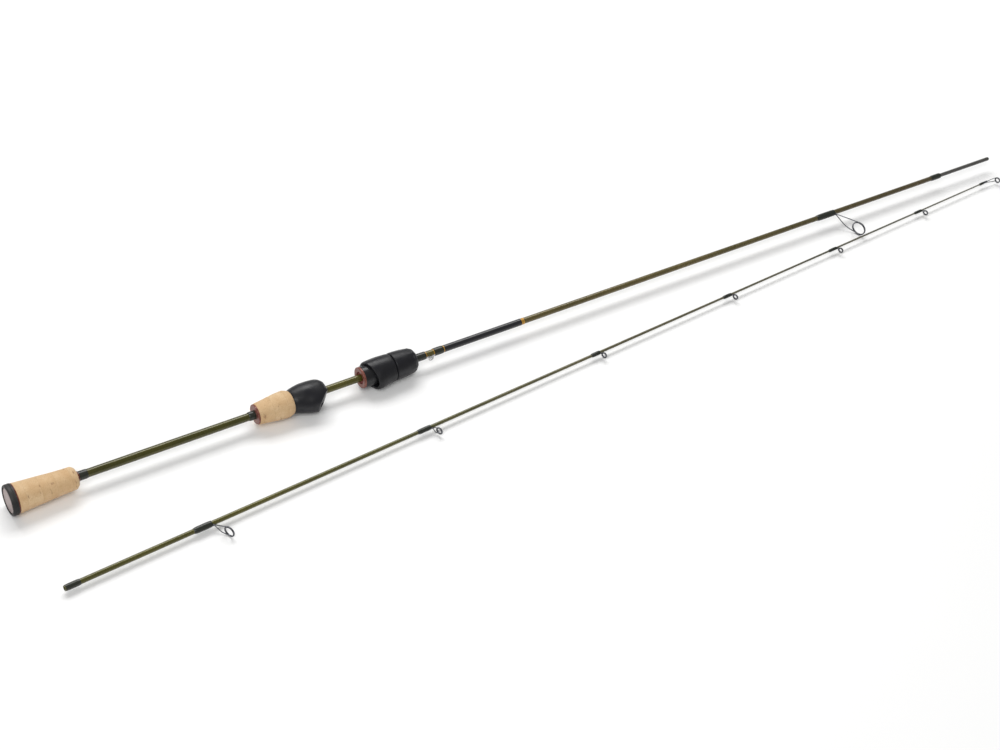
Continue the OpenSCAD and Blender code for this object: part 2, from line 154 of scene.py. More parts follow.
def filleted(points, radius, steps=4, closed=False):
    """A chain of points with its corners rounded."""
    points = [Vector(p) for p in points]
    count = len(points)
    chain = []
    for i, corner in enumerate(points):
        if not closed and i in (0, count - 1):
            chain.append(corner)
            continue
        back = points[i - 1] - corner
        ahead = points[(i + 1) % count] - corner
        cut = min(radius, back.length * 0.45, ahead.length * 0.45)
        start = corner + back.normalized() * cut
        finish = corner + ahead.normalized() * cut
        for k in range(steps + 1):
            t = k / steps
            chain.append(start * (1 - t) ** 2 + corner * 2 * t * (1 - t) + finish * t * t)
    return chain


def divided(points, step, closed=False):
    """The same chain with no gap longer than a step."""
    points = [Vector(p) for p in points]
    ends = points[1:] + ([points[0]] if closed else [])
    chain = []
    for a, b in zip(points, ends):
        count = max(1, math.ceil((b - a).length / step))
        chain.extend(a.lerp(b, i / count) for i in range(count))
    return chain if closed else chain + [points[-1]]


def new_object(name, mesh):
    piece = bpy.data.objects.new(name, mesh)
    bpy.context.scene.collection.objects.link(piece)
    return piece


def shade(mesh, sharp=40):
    mesh.shade_smooth()
    mesh.set_sharp_from_angle(angle=math.radians(sharp))


def turned(name, chain, segments=64, closed=True, place=None, radius=None, sharp=40):
    """A turned piece from a chain of (z, r). Its UV map holds the turn and the way along in mm.

    A closed chain makes a bored piece. An open one starts and ends on the axis.
    radius(r, turn, z) may change the radius round the piece.
    """
    chain = [Vector(p) for p in chain]
    on_axis = [p.y < 1e-6 for p in chain]
    rows = []
    verts = []
    for point, pole in zip(chain, on_axis):
        if pole:
            rows.append([len(verts)] * segments)
            verts.append((0, 0, point.x))
            continue
        rows.append(list(range(len(verts), len(verts) + segments)))
        for i in range(segments):
            turn = TURN * i / segments
            r = radius(point.y, turn, point.x) if radius else point.y
            verts.append((r * math.cos(turn), r * math.sin(turn), point.x))
    count = len(rows)
    faces = []
    uvs = []
    for j in range(count if closed else count - 1):
        k = (j + 1) % count
        if on_axis[j] and on_axis[k]:
            continue
        for i in range(segments):
            n = (i + 1) % segments
            u0 = i / segments
            u1 = (i + 1) / segments
            ring = [(rows[j][i], u0, j), (rows[j][n], u1, j), (rows[k][n], u1, k), (rows[k][i], u0, k)]
            if on_axis[j]:
                ring.pop(1)
            if on_axis[k]:
                ring.pop(2)
            faces.append([corner[0] for corner in ring])
            uvs.extend((corner[1], chain[corner[2]].x) for corner in ring)
    mesh = bpy.data.meshes.new(name)
    mesh.from_pydata(verts, [], faces)
    layer = mesh.uv_layers.new(name="around_along")
    layer.data.foreach_set("uv", [value for uv in uvs for value in uv])
    finish_mesh(mesh, place, sharp)
    return new_object(name, mesh)


def finish_mesh(mesh, place, sharp=40):
    """Puts a mesh in its place, with its faces pointing outwards."""
    shape = bmesh.new()
    shape.from_mesh(mesh)
    bmesh.ops.recalc_face_normals(shape, faces=shape.faces)
    if shape.calc_volume(signed=True) < 0:
        bmesh.ops.reverse_faces(shape, faces=shape.faces)
    shape.to_mesh(mesh)
    shape.free()
    if place is not None:
        mesh.transform(place)
    shade(mesh, sharp)


def evaluated_mesh(piece):
    """Replaces a piece's mesh by what its modifiers make, and removes them."""
    bpy.context.view_layer.update()
    ready = piece.evaluated_get(bpy.context.evaluated_depsgraph_get())
    mesh = bpy.data.meshes.new_from_object(ready)
    piece.modifiers.clear()
    old = piece.data
    if old.rna_type.identifier == mesh.rna_type.identifier:
        piece.data = mesh
        return piece
    made = new_object(piece.name + "_made", mesh)
    name = piece.name
    bpy.data.objects.remove(piece)
    made.name = name
    return made


def cut(piece, cutters):
    """Takes the cutters away from a piece."""
    for cutter in cutters:
        step = piece.modifiers.new("cut", "BOOLEAN")
        step.operation = "DIFFERENCE"
        step.solver = "MANIFOLD"
        step.object = cutter
    evaluated_mesh(piece)
    for cutter in cutters:
        bpy.data.objects.remove(cutter)
    return piece


# ---------- node helpers ----------

def put(tree, kind, sockets=None, **settings):
    """Adds a node, and links or sets its inputs."""
    node = tree.nodes.new(kind)
    for key, value in settings.items():
        setattr(node, key, value)
    for key, value in (sockets or {}).items():
        if isinstance(value, bpy.types.NodeSocket):
            tree.links.new(value, node.inputs[key])
        else:
            node.inputs[key].default_value = value
    return node


def maths(tree, operation, a, b=0.0, clamp=False):
    return put(tree, "ShaderNodeMath", {0: a, 1: b}, operation=operation, use_clamp=clamp).outputs[0]


def blended(tree, factor, a, b, how="MIX"):
    """A colour between a and b."""
    node = put(tree, "ShaderNodeMix", {0: factor, 6: a, 7: b}, data_type="RGBA", blend_type=how)
    return node.outputs[2]


def fitted(tree, value, low, high, to_low=0.0, to_high=1.0):
    sockets = {"Value": value, "From Min": low, "From Max": high, "To Min": to_low, "To Max": to_high}
    return put(tree, "ShaderNodeMapRange", sockets, clamp=True).outputs[0]


def colour(red, green, blue):
    """A colour given as it looks on a screen, 0 to 255."""
    def linear(value):
        value /= 255
        return value / 12.92 if value <= 0.04045 else ((value + 0.055) / 1.055) ** 2.4
    return (linear(red), linear(green), linear(blue), 1.0)


def graded(tree, factor, stops):
    """A colour ramp from (place, colour) stops."""
    node = put(tree, "ShaderNodeValToRGB", {"Fac": factor})
    ramp = node.color_ramp
    while len(ramp.elements) < len(stops):
        ramp.elements.new(0.5)
    for element, (place, shade_of) in zip(ramp.elements, stops):
        element.position = place
        element.color = shade_of
    return node.outputs["Color"]


def node_group(name, inputs, outputs, build):
    """A shader node group with named sockets."""
    tree = bpy.data.node_groups.new(name, "ShaderNodeTree")
    for label, kind, default in inputs:
        socket = tree.interface.new_socket(label, in_out="INPUT", socket_type="NodeSocket" + kind)
        if default is not None:
            socket.default_value = default
    for label, kind in outputs:
        tree.interface.new_socket(label, in_out="OUTPUT", socket_type="NodeSocket" + kind)
    entry = tree.nodes.new("NodeGroupInput")
    leave = tree.nodes.new("NodeGroupOutput")
    for label, socket in build(tree, entry.outputs).items():
        tree.links.new(socket, leave.inputs[label])
    return tree


def varnish_build(tree, given):
    """Slow waves where varnish levelled out, with a few specks in it."""
    size = maths(tree, "DIVIDE", 1.0, given["Size"])
    wave = put(tree, "ShaderNodeTexNoise", {"Vector": given["Vector"], "Scale": size, "Detail": 1.5})
    specks = put(tree, "ShaderNodeTexNoise",
                 {"Vector": given["Vector"], "Scale": maths(tree, "MULTIPLY", size, 9.0)})
    speck = fitted(tree, specks.outputs["Fac"], 0.68, 0.78)
    height = maths(tree, "ADD", wave.outputs["Fac"], maths(tree, "MULTIPLY", speck, 0.15))
    rough = fitted(tree, wave.outputs["Fac"], 0.3, 0.7, 0.04, 0.12)
    return {"Height": height, "Roughness": rough, "Speck": speck}


def moulded_build(tree, given):
    """Fine stipple of a mould, with patches polished by handling."""
    size = maths(tree, "DIVIDE", 1.0, given["Size"])
    stipple = put(tree, "ShaderNodeTexVoronoi", {"Vector": given["Vector"], "Scale": size})
    patches = put(tree, "ShaderNodeTexNoise",
                  {"Vector": given["Vector"], "Scale": maths(tree, "MULTIPLY", size, 0.04), "Detail": 4.0})
    rub = fitted(tree, patches.outputs["Fac"], 0.42, 0.62)
    sockets = {"Value": rub, "From Min": 0.0, "From Max": 1.0,
               "To Min": given["Rough"], "To Max": given["Rubbed"]}
    rough = put(tree, "ShaderNodeMapRange", sockets)
    return {"Height": stipple.outputs["Distance"], "Roughness": rough.outputs[0], "Rubbed": rub}


def drawn_build(tree, given):
    """Hair-fine marks of drawn or polished metal, long in one direction."""
    stretch = put(tree, "ShaderNodeVectorMath", {0: given["Vector"], 1: given["Stretch"]},
                  operation="MULTIPLY")
    marks = put(tree, "ShaderNodeTexNoise", {"Vector": stretch.outputs[0], "Scale": 900.0, "Detail": 5.0})
    cloud = put(tree, "ShaderNodeTexNoise", {"Vector": given["Vector"], "Scale": 260.0})
    rough = maths(tree, "ADD", fitted(tree, marks.outputs["Fac"], 0.3, 0.7, 0.0, 0.14), given["Rough"])
    return {"Height": marks.outputs["Fac"], "Roughness": rough, "Cloud": cloud.outputs["Fac"]}


VARNISH = node_group("varnish_flow", [("Vector", "Vector", None), ("Size", "Float", 0.004)],
                     [("Height", "Float"), ("Roughness", "Float"), ("Speck", "Float")], varnish_build)
MOULDED = node_group("moulded_skin", [("Vector", "Vector", None), ("Size", "Float", 0.0004),
                                      ("Rough", "Float", 0.45), ("Rubbed", "Float", 0.3)],
                     [("Height", "Float"), ("Roughness", "Float"), ("Rubbed", "Float")], moulded_build)
DRAWN = node_group("drawn_metal", [("Vector", "Vector", None), ("Stretch", "Vector", (1.0, 1.0, 1.0)),
                                   ("Rough", "Float", 0.2)],
                   [("Height", "Float"), ("Roughness", "Float"), ("Cloud", "Float")], drawn_build)


class Finish:
    """A material in the making: its tree, its shader and the coordinates it reads."""

    def __init__(self, name):
        self.material = bpy.data.materials.new(name)
        self.material.use_nodes = True
        self.tree = self.material.node_tree
        self.shader = self.tree.nodes["Principled BSDF"]
        coordinates = put(self.tree, "ShaderNodeTexCoord")
        self.object = coordinates.outputs["Object"]
        self.uv = put(self.tree, "ShaderNodeUVMap", uv_map="around_along").outputs["UV"]

    def put(self, kind, sockets=None, **settings):
        return put(self.tree, kind, sockets, **settings)

    def group(self, tree, sockets):
        return self.put("ShaderNodeGroup", sockets, node_tree=tree).outputs

    def noise(self, scale, detail=2.0, vector=None):
        sockets = {"Vector": vector or self.object, "Scale": scale, "Detail": detail}
        return self.put("ShaderNodeTexNoise", sockets).outputs["Fac"]

    def uv_parts(self):
        """The turn round the axis, 0 to 1, and the millimetres along it."""
        parts = self.put("ShaderNodeSeparateXYZ", {0: self.uv})
        return parts.outputs["X"], parts.outputs["Y"]

    def set(self, **values):
        """Sets or links the shader's sockets, named with underscores."""
        for key, value in values.items():
            socket = self.shader.inputs[key.replace("_", " ")]
            if isinstance(value, bpy.types.NodeSocket):
                self.tree.links.new(value, socket)
            else:
                socket.default_value = value

    def bump(self, height, distance, strength=1.0):
        sockets = {"Height": height, "Distance": distance, "Strength": strength}
        self.set(Normal=self.put("ShaderNodeBump", sockets).outputs["Normal"])


# ---------- materials ----------
# Sizes inside the materials are in metres where they read the object's coordinates, and in
# millimetres where they read the way along a piece.

def blank_finish(name, stops, length):
    """Clear-coated blank whose colour changes towards the tip, with faint tape ridges."""
    f = Finish(name)
    turn, along = f.uv_parts()
    base = graded(f.tree, maths(f.tree, "DIVIDE", along, length), stops)
    flake = f.noise(5200.0, 0.0)
    cloud = f.noise(34.0, 3.0)
    tint = blended(f.tree, fitted(f.tree, flake, 0.5, 0.75), base, colour(176, 172, 108), "SOFT_LIGHT")
    dark = blended(f.tree, fitted(f.tree, cloud, 0.35, 0.7, 0.0, 0.35), tint, colour(48, 50, 20))
    spiral = maths(f.tree, "SINE", maths(f.tree, "MULTIPLY", maths(f.tree, "ADD", maths(
        f.tree, "DIVIDE", along, 2.6), turn), TURN))
    coat = f.group(VARNISH, {"Vector": f.object, "Size": 0.006})
    banded = blended(f.tree, fitted(f.tree, spiral, 0.7, 1.0, 0.0, 0.16), dark, colour(30, 32, 14))
    f.set(Base_Color=banded, Metallic=0.3, Roughness=maths(f.tree, "ADD", coat["Roughness"], 0.2),
          Specular_IOR_Level=0.3, Coat_Weight=0.5, Coat_Roughness=0.05)
    height = maths(f.tree, "ADD", coat["Height"], maths(f.tree, "MULTIPLY", spiral, 0.25))
    f.bump(height, 0.00004, 0.5)
    return f.material


def cork_finish():
    """Turned cork: glued rings, cells, darker pores and a hand-worn sheen."""
    f = Finish("cork")
    along = f.uv_parts()[1]
    ring_number = maths(f.tree, "FLOOR", maths(f.tree, "DIVIDE", along, CORK_RING))
    ring = f.put("ShaderNodeTexWhiteNoise", {"W": ring_number}, noise_dimensions="1D").outputs["Value"]
    offset = f.put("ShaderNodeVectorMath", {0: f.object, 1: f.put("ShaderNodeCombineXYZ", {
        "X": ring, "Y": ring, "Z": ring}).outputs[0]}, operation="ADD").outputs[0]
    cloud = f.noise(120.0, 5.0, offset)
    fine = f.noise(900.0, 4.0, offset)
    cells = f.put("ShaderNodeTexVoronoi", {"Vector": offset, "Scale": 620.0}, feature="DISTANCE_TO_EDGE")
    streak_way = f.put("ShaderNodeVectorMath", {0: offset, 1: (1.0, 0.35, 0.35)}, operation="MULTIPLY")
    streaks = f.noise(330.0, 4.0, streak_way.outputs[0])
    base = graded(f.tree, cloud, [(0.3, colour(203, 168, 124)), (0.5, colour(211, 179, 136)),
                                  (0.7, colour(220, 191, 150))])
    base = blended(f.tree, fitted(f.tree, ring, 0.0, 1.0, 0.0, 0.3), base, colour(200, 160, 112))
    base = blended(f.tree, fitted(f.tree, fine, 0.52, 0.7, 0.0, 0.35), base, colour(184, 144, 100))
    border = fitted(f.tree, cells.outputs["Distance"], 0.0, 0.06, 1.0, 0.0)
    base = blended(f.tree, maths(f.tree, "MULTIPLY", border, 0.2), base, colour(170, 126, 84))
    pore = fitted(f.tree, streaks, 0.64, 0.71)
    base = blended(f.tree, maths(f.tree, "MULTIPLY", pore, 0.65), base, colour(128, 84, 54))
    seam = fitted(f.tree, maths(f.tree, "ABSOLUTE", maths(f.tree, "SUBTRACT", maths(
        f.tree, "FRACT", maths(f.tree, "DIVIDE", along, CORK_RING)), 0.5)), 0.488, 0.5)
    base = blended(f.tree, maths(f.tree, "MULTIPLY", seam, 0.35), base, colour(140, 98, 62))
    f.set(Base_Color=base, Roughness=fitted(f.tree, fine, 0.3, 0.7, 0.62, 0.82), Sheen_Weight=0.08)
    height = maths(f.tree, "SUBTRACT", maths(f.tree, "ADD", fine, maths(f.tree, "MULTIPLY", cloud, 0.5)),
                   maths(f.tree, "ADD", maths(f.tree, "MULTIPLY", pore, 1.2),
                         maths(f.tree, "MULTIPLY", seam, 0.6)))
    f.bump(height, 0.00018, 0.7)
    return f.material


def thread_finish():
    """Dark green thread under thick clear varnish, with each turn painted lighter on its crown and painted shade
    in the groove between turns.
    """
    f = Finish("thread_wrap")
    turn, along = f.uv_parts()
    wound = maths(f.tree, "FRACT", maths(f.tree, "ADD", maths(f.tree, "DIVIDE", along, THREAD_PITCH), turn))
    ridge = maths(f.tree, "ABSOLUTE", maths(f.tree, "SUBTRACT", wound, 0.5))
    # painted shade: each turn is lighter on its crown and darkest in the groove between turns
    base = graded(f.tree, ridge, [(0.0, colour(42, 46, 38)), (0.3, colour(30, 33, 26)),
                                  (0.5, colour(13, 15, 11))])
    twist = f.noise(2600.0, 2.0)
    base = blended(f.tree, fitted(f.tree, twist, 0.45, 0.7, 0.0, 0.4), base, colour(58, 62, 48))
    coat = f.group(VARNISH, {"Vector": f.object, "Size": 0.003})
    base = blended(f.tree, maths(f.tree, "MULTIPLY", coat["Speck"], 0.3), base, colour(120, 118, 96))
    f.set(Base_Color=base, Roughness=0.4, Specular_IOR_Level=0.2, Coat_Weight=0.55, Coat_Roughness=0.05)
    f.bump(coat["Height"], 0.00006, 0.6)
    return f.material


def moulded_finish(name, base, patch, rough, rubbed, stipple=0.00035, depth=0.00002, coat=0.0):
    """Moulded plastic or rubber."""
    f = Finish(name)
    skin = f.group(MOULDED, {"Vector": f.object, "Size": stipple, "Rough": rough, "Rubbed": rubbed})
    dust = fitted(f.tree, f.noise(420.0, 6.0), 0.6, 0.8, 0.0, 0.25)
    tone = blended(f.tree, maths(f.tree, "MULTIPLY", skin["Rubbed"], 0.5), base, patch)
    tone = blended(f.tree, dust, tone, patch)
    f.set(Base_Color=tone, Roughness=skin["Roughness"], Specular_IOR_Level=0.35, Coat_Weight=coat,
          Coat_Roughness=0.1)
    f.bump(skin["Height"], depth, 0.5)
    return f.material


def metal_finish(name, base, cloudy, rough, stretch=(1.0, 1.0, 1.0), metallic=1.0):
    """Drawn wire, polished rings and other metal."""
    f = Finish(name)
    marks = f.group(DRAWN, {"Vector": f.object, "Stretch": stretch, "Rough": rough})
    tone = blended(f.tree, fitted(f.tree, marks["Cloud"], 0.35, 0.7), base, cloudy)
    f.set(Base_Color=tone, Metallic=metallic, Roughness=marks["Roughness"])
    f.bump(marks["Height"], 0.000006, 0.4)
    return f.material


def lacquer_finish(name, base, deep, metallic=0.0, rough=0.3):
    """Lacquered trim: even colour that pools darker, under gloss."""
    f = Finish(name)
    coat = f.group(VARNISH, {"Vector": f.object, "Size": 0.0025})
    tone = blended(f.tree, fitted(f.tree, f.noise(700.0, 4.0), 0.4, 0.7), base, deep)
    tone = blended(f.tree, maths(f.tree, "MULTIPLY", coat["Speck"], 0.25), tone, colour(214, 200, 170))
    f.set(Base_Color=tone, Metallic=metallic,
          Roughness=maths(f.tree, "ADD", coat["Roughness"], rough - 0.08),
          Specular_IOR_Level=0.3, Coat_Weight=0.3, Coat_Roughness=0.08)
    f.bump(coat["Height"], 0.00003, 0.5)
    return f.material


def plate_finish():
    """Spun plate: circular tool marks round its centre."""
    f = Finish("cap_plate")
    centre = SECTIONS[BUTT].place.translation
    from_centre = f.put("ShaderNodeVectorMath", {0: f.object, 1: tuple(centre)},
                        operation="SUBTRACT").outputs[0]
    flat = f.put("ShaderNodeVectorMath", {0: from_centre, 1: (0.0, 1.0, 1.0)},
                 operation="MULTIPLY").outputs[0]
    reach = f.put("ShaderNodeVectorMath", {0: flat}, operation="LENGTH").outputs["Value"]
    marks = f.put("ShaderNodeTexNoise",
                  {"W": maths(f.tree, "MULTIPLY", reach, 9000.0), "Scale": 1.0, "Detail": 3.0},
                  noise_dimensions="1D").outputs["Fac"]
    tone = graded(f.tree, marks, [(0.3, colour(128, 112, 110)), (0.7, colour(168, 150, 146))])
    tone = blended(f.tree, fitted(f.tree, f.noise(500.0, 5.0), 0.55, 0.75, 0.0, 0.4), tone,
                   colour(104, 86, 84))
    f.set(Base_Color=tone, Metallic=0.6, Roughness=fitted(f.tree, marks, 0.3, 0.7, 0.28, 0.42))
    f.bump(marks, 0.00001, 0.4)
    return f.material


def label_finish():
    """Plain dark gloss sleeve with fine lengthwise fibres."""
    f = Finish("label")
    turn, along = f.uv_parts()
    weave = f.put("ShaderNodeCombineXYZ", {"X": maths(f.tree, "MULTIPLY", turn, 60.0),
                                           "Y": maths(f.tree, "MULTIPLY", along, 0.4)}).outputs[0]
    fibres = f.noise(2.0, 4.0, weave)
    tone = graded(f.tree, fibres, [(0.3, colour(22, 22, 25)), (0.7, colour(33, 33, 36))])
    coat = f.group(VARNISH, {"Vector": f.object, "Size": 0.004})
    f.set(Base_Color=tone, Roughness=maths(f.tree, "ADD", coat["Roughness"], 0.25), Specular_IOR_Level=0.3,
          Coat_Weight=0.5, Coat_Roughness=0.05)
    f.bump(coat["Height"], 0.00003, 0.5)
    return f.material


THREAD_PITCH = 0.3
CORK_RING = 12.2
BUTT_STOPS = [(0.0, colour(70, 66, 16)), (0.22, colour(72, 70, 20)), (0.3, colour(90, 86, 36)),
              (0.5, colour(104, 92, 56)), (0.75, colour(100, 90, 58)), (1.0, colour(94, 82, 62))]
TIP_STOPS = [(0.0, colour(80, 78, 32)), (0.15, colour(94, 90, 42)), (0.3, colour(92, 90, 54)),
             (0.55, colour(106, 100, 80)), (0.8, colour(106, 103, 92)), (1.0, colour(138, 136, 130))]

FINISH = {
    "blank_olive": blank_finish("blank_olive", BUTT_STOPS, cad_butt.z1),
    "blank_grey": blank_finish("blank_grey", TIP_STOPS, cad_tip.z1),
    "cork": cork_finish(),
    "thread_wrap": thread_finish(),
    "seat_plastic": moulded_finish("seat_plastic", colour(20, 20, 24), colour(33, 33, 38), 0.46, 0.32),
    "barrel_plastic": moulded_finish("barrel_plastic", colour(26, 26, 28), colour(40, 40, 43), 0.36, 0.26),
    "cap_rubber": moulded_finish("cap_rubber", colour(38, 38, 38), colour(56, 55, 53), 0.72, 0.5,
                                 0.0005, 0.00005),
    "arbor": moulded_finish("arbor", colour(112, 22, 18), colour(136, 40, 32), 0.6, 0.5),
    "spigot_graphite": moulded_finish("spigot_graphite", colour(72, 71, 68), colour(92, 90, 86), 0.36, 0.24,
                                      0.0003, 0.000012, 0.3),
    "cap_plate": plate_finish(),
    "check_red": lacquer_finish("check_red", colour(108, 52, 38), colour(78, 30, 22)),
    "copper_ring": lacquer_finish("copper_ring", colour(134, 80, 68), colour(106, 56, 46), 0.2, 0.45),
    "gold_trim": lacquer_finish("gold_trim", colour(190, 142, 52), colour(150, 108, 38), 0.5, 0.4),
    "label": label_finish(),
    "keeper_wire": metal_finish("keeper_wire", colour(196, 196, 198), colour(168, 168, 170), 0.2),
    "guide_frame": metal_finish("guide_frame", colour(118, 119, 124), colour(88, 89, 94), 0.24),
    "guide_ring": metal_finish("guide_ring", colour(98, 99, 104), colour(74, 75, 80), 0.08, metallic=0.7),
}
SLOT_OF = {entry["node"]: entry["material_slot"] for entry in RECORD["subparts"]}


def finish_piece(piece, *nodes):
    """Material, body, slot and the CAD nodes that the piece stands for."""
    slot = SLOT_OF[nodes[0]]
    piece.data.materials.clear()
    piece.data.materials.append(FINISH[slot])
    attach(piece, BODY_OF[nodes[0]])
    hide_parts(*nodes)
    return piece


# ---------- geometry nodes ----------

def geometry_tree(name, inputs):
    """An empty geometry tree with named inputs. Returns the tree, its input and its output node."""
    tree = bpy.data.node_groups.new(name, "GeometryNodeTree")
    tree.interface.new_socket("Geometry", in_out="INPUT", socket_type="NodeSocketGeometry")
    for label, kind, default in inputs:
        socket = tree.interface.new_socket(label, in_out="INPUT", socket_type="NodeSocket" + kind)
        if default is not None:
            socket.default_value = default
    tree.interface.new_socket("Geometry", in_out="OUTPUT", socket_type="NodeSocketGeometry")
    return tree, tree.nodes.new("NodeGroupInput"), tree.nodes.new("NodeGroupOutput")


def close_tree(tree, geometry, material, leave):
    """Realize Instances, then Set Material, then out."""
    real = put(tree, "GeometryNodeRealizeInstances", {"Geometry": geometry})
    paint = put(tree, "GeometryNodeSetMaterial", {"Geometry": real.outputs[0], "Material": material})
    tree.links.new(paint.outputs[0], leave.inputs[0])


def build_thread_tree():
    """Raises a helical ridge on a turned skin, fading out at both ends."""
    tree, entry, leave = geometry_tree("wound_ridge", [
        ("Pitch", "Float", 0.3), ("Depth", "Float", 0.03), ("From", "Float", 0.0), ("To", "Float", 1.0),
        ("Fade", "Float", 1.0), ("Inverse Place", "Matrix", None), ("Material", "Material", None)])
    given = entry.outputs
    position = put(tree, "GeometryNodeInputPosition").outputs[0]
    local = put(tree, "FunctionNodeTransformPoint",
                {"Vector": position, "Transform": given["Inverse Place"]})
    parts = put(tree, "ShaderNodeSeparateXYZ", {0: local.outputs[0]}).outputs
    turn = maths(tree, "DIVIDE", maths(tree, "ARCTAN2", parts["Y"], parts["X"]), TURN)
    along = parts["Z"]
    phase = maths(tree, "ADD", maths(tree, "DIVIDE", along, given["Pitch"]), turn)
    ridge = maths(tree, "COSINE", maths(tree, "MULTIPLY", phase, TURN))
    from_start = maths(tree, "SUBTRACT", along, given["From"])
    fade_in = maths(tree, "DIVIDE", from_start, given["Fade"], clamp=True)
    to_end = maths(tree, "SUBTRACT", given["To"], along)
    fade_out = maths(tree, "DIVIDE", to_end, given["Fade"], clamp=True)
    amount = maths(tree, "MULTIPLY", maths(tree, "MULTIPLY", ridge, given["Depth"]),
                   maths(tree, "MULTIPLY", fade_in, fade_out))
    normal = put(tree, "GeometryNodeInputNormal").outputs[0]
    offset = put(tree, "ShaderNodeVectorMath", {0: normal, "Scale": maths(tree, "MULTIPLY", amount, MM)},
                 operation="SCALE").outputs[0]
    moved = put(tree, "GeometryNodeSetPosition", {"Geometry": given["Geometry"], "Offset": offset})
    close_tree(tree, moved.outputs[0], given["Material"], leave)
    return tree


def build_pore_tree():
    """Sinks pores and a fine grain into turned cork."""
    tree, entry, leave = geometry_tree("cork_pores", [
        ("Pore Size", "Float", 0.0016), ("Depth", "Float", 0.3), ("Seed", "Int", 7),
        ("Material", "Material", None)])
    given = entry.outputs
    position = put(tree, "GeometryNodeInputPosition").outputs[0]
    shift = put(tree, "ShaderNodeCombineXYZ", {"X": maths(tree, "MULTIPLY", given["Seed"], 0.137)}).outputs[0]
    seeded = put(tree, "ShaderNodeVectorMath", {0: position, 1: shift}, operation="ADD").outputs[0]
    scale = maths(tree, "DIVIDE", 1.0, given["Pore Size"])
    stretch = put(tree, "ShaderNodeVectorMath", {0: seeded, 1: (1.0, 0.5, 0.5)},
                  operation="MULTIPLY").outputs[0]
    pores = put(tree, "ShaderNodeTexNoise", {"Vector": stretch, "Scale": scale, "Detail": 3.0}).outputs[0]
    sunk = fitted(tree, pores, 0.67, 0.78)
    grain = put(tree, "ShaderNodeTexNoise", {"Vector": seeded, "Scale": 700.0, "Detail": 2.0}).outputs[0]
    deep = maths(tree, "MULTIPLY", sunk, given["Depth"])
    relief = maths(tree, "SUBTRACT", maths(tree, "MULTIPLY", maths(tree, "SUBTRACT", grain, 0.5), 0.09), deep)
    normal = put(tree, "GeometryNodeInputNormal").outputs[0]
    offset = put(tree, "ShaderNodeVectorMath", {0: normal, "Scale": maths(tree, "MULTIPLY", relief, MM)},
                 operation="SCALE").outputs[0]
    moved = put(tree, "GeometryNodeSetPosition", {"Geometry": given["Geometry"], "Offset": offset})
    close_tree(tree, moved.outputs[0], given["Material"], leave)
    return tree


def build_wire_tree():
    """A round wire with closed ends along each spline."""
    tree, entry, leave = geometry_tree("bent_wire", [
        ("Radius", "Float", 0.0004), ("Sides", "Int", 16), ("Material", "Material", None)])
    given = entry.outputs
    section = put(tree, "GeometryNodeCurvePrimitiveCircle",
                  {"Resolution": given["Sides"], "Radius": given["Radius"]})
    sockets = {"Curve": given["Geometry"], "Profile Curve": section.outputs[0], "Fill Caps": True}
    wire = put(tree, "GeometryNodeCurveToMesh", sockets)
    close_tree(tree, wire.outputs[0], given["Material"], leave)
    return tree


WOUND = build_thread_tree()
PORES = build_pore_tree()
WIRE = build_wire_tree()


def grown(piece, tree, **inputs):
    """Runs a geometry tree on a piece and keeps the result as its mesh."""
    step = piece.modifiers.new("made", "NODES")
    step.node_group = tree
    for socket in tree.interface.items_tree:
        label = socket.name.replace(" ", "_")
        if socket.in_out == "INPUT" and label in inputs:
            step[socket.identifier] = inputs[label]
    return evaluated_mesh(piece)


# ---------- turned pieces ----------

def joined(name, parts):
    """One piece made of several closed shells."""
    shape = bmesh.new()
    for part in parts:
        shape.from_mesh(part.data)
        bpy.data.objects.remove(part)
    mesh = bpy.data.meshes.new(name)
    shape.to_mesh(mesh)
    shape.free()
    shade(mesh)
    return new_object(name, mesh)


def collar_piece(node, bore_gap=0.02, edge=0.3, segments=72, step=0.5):
    """A turned ring that follows its CAD outline, with softened edges."""
    cad = Cad(node)
    bore = blank_radius(node, cad.z1) + bore_gap
    chain = [(cad.z0, bore), (cad.z0, cad.radius(cad.z0 + 0.02) - 0.02), (cad.z0 + 0.3, cad.r1),
             (cad.z1 - 0.3, cad.r1), (cad.z1, cad.radius(cad.z1 - 0.02) - 0.02), (cad.z1, bore)]
    chain = divided(filleted(chain, edge, closed=True), step, closed=True)
    return finish_piece(turned(node + "_look", chain, segments, place=cad.section.place), node)


def cork_piece(node, places, seed):
    """Turned cork with real pores in its surface."""
    cad = Cad(node)
    bore = blank_radius(node, cad.z0) + 0.05
    skin = smooth_path([(z, r, 0) for z, r in cad.outline(places)], 0.4)
    chain = [(cad.z0, bore), (cad.z0, skin[0].y - 0.15)] + [p.to_2d() for p in skin[1:-1]]
    chain += [(cad.z1, cad.radius(cad.z1 - 0.05) - 0.15), (cad.z1, bore)]
    chain = divided(chain, 0.4, closed=True)
    piece = turned(node + "_look", chain, 168, place=cad.section.place, sharp=60)
    piece = grown(piece, PORES, Seed=seed, Depth=CORK_PORE_DEPTH, Material=FINISH["cork"])
    return finish_piece(piece, node)


def cap_piece():
    """Rubber cap: rounded rim, recess, and a fine groove round its side."""
    cad = Cad("butt_cap")
    plate = Cad("butt_cap_plate")
    recess = plate.r1 + 0.1
    rim = cad.r1
    groove = cad.z1 * 0.66
    chain = [(plate.z1, 0), (plate.z1, recess), (0.15, recess + 0.12), (0.0, recess + 0.5), (0.0, rim - 1.1),
             (0.3, rim - 0.35), (1.1, rim), (groove - 0.4, rim), (groove - 0.2, rim - 0.25),
             (groove + 0.2, rim - 0.25), (groove + 0.4, rim), (cad.z1 - 0.3, rim), (cad.z1, rim - 0.2),
             (cad.z1, 0)]
    chain = divided(filleted(chain, 0.3, 3), 0.7)
    return finish_piece(turned("butt_cap_look", chain, 96, closed=False, place=cad.section.place), "butt_cap")


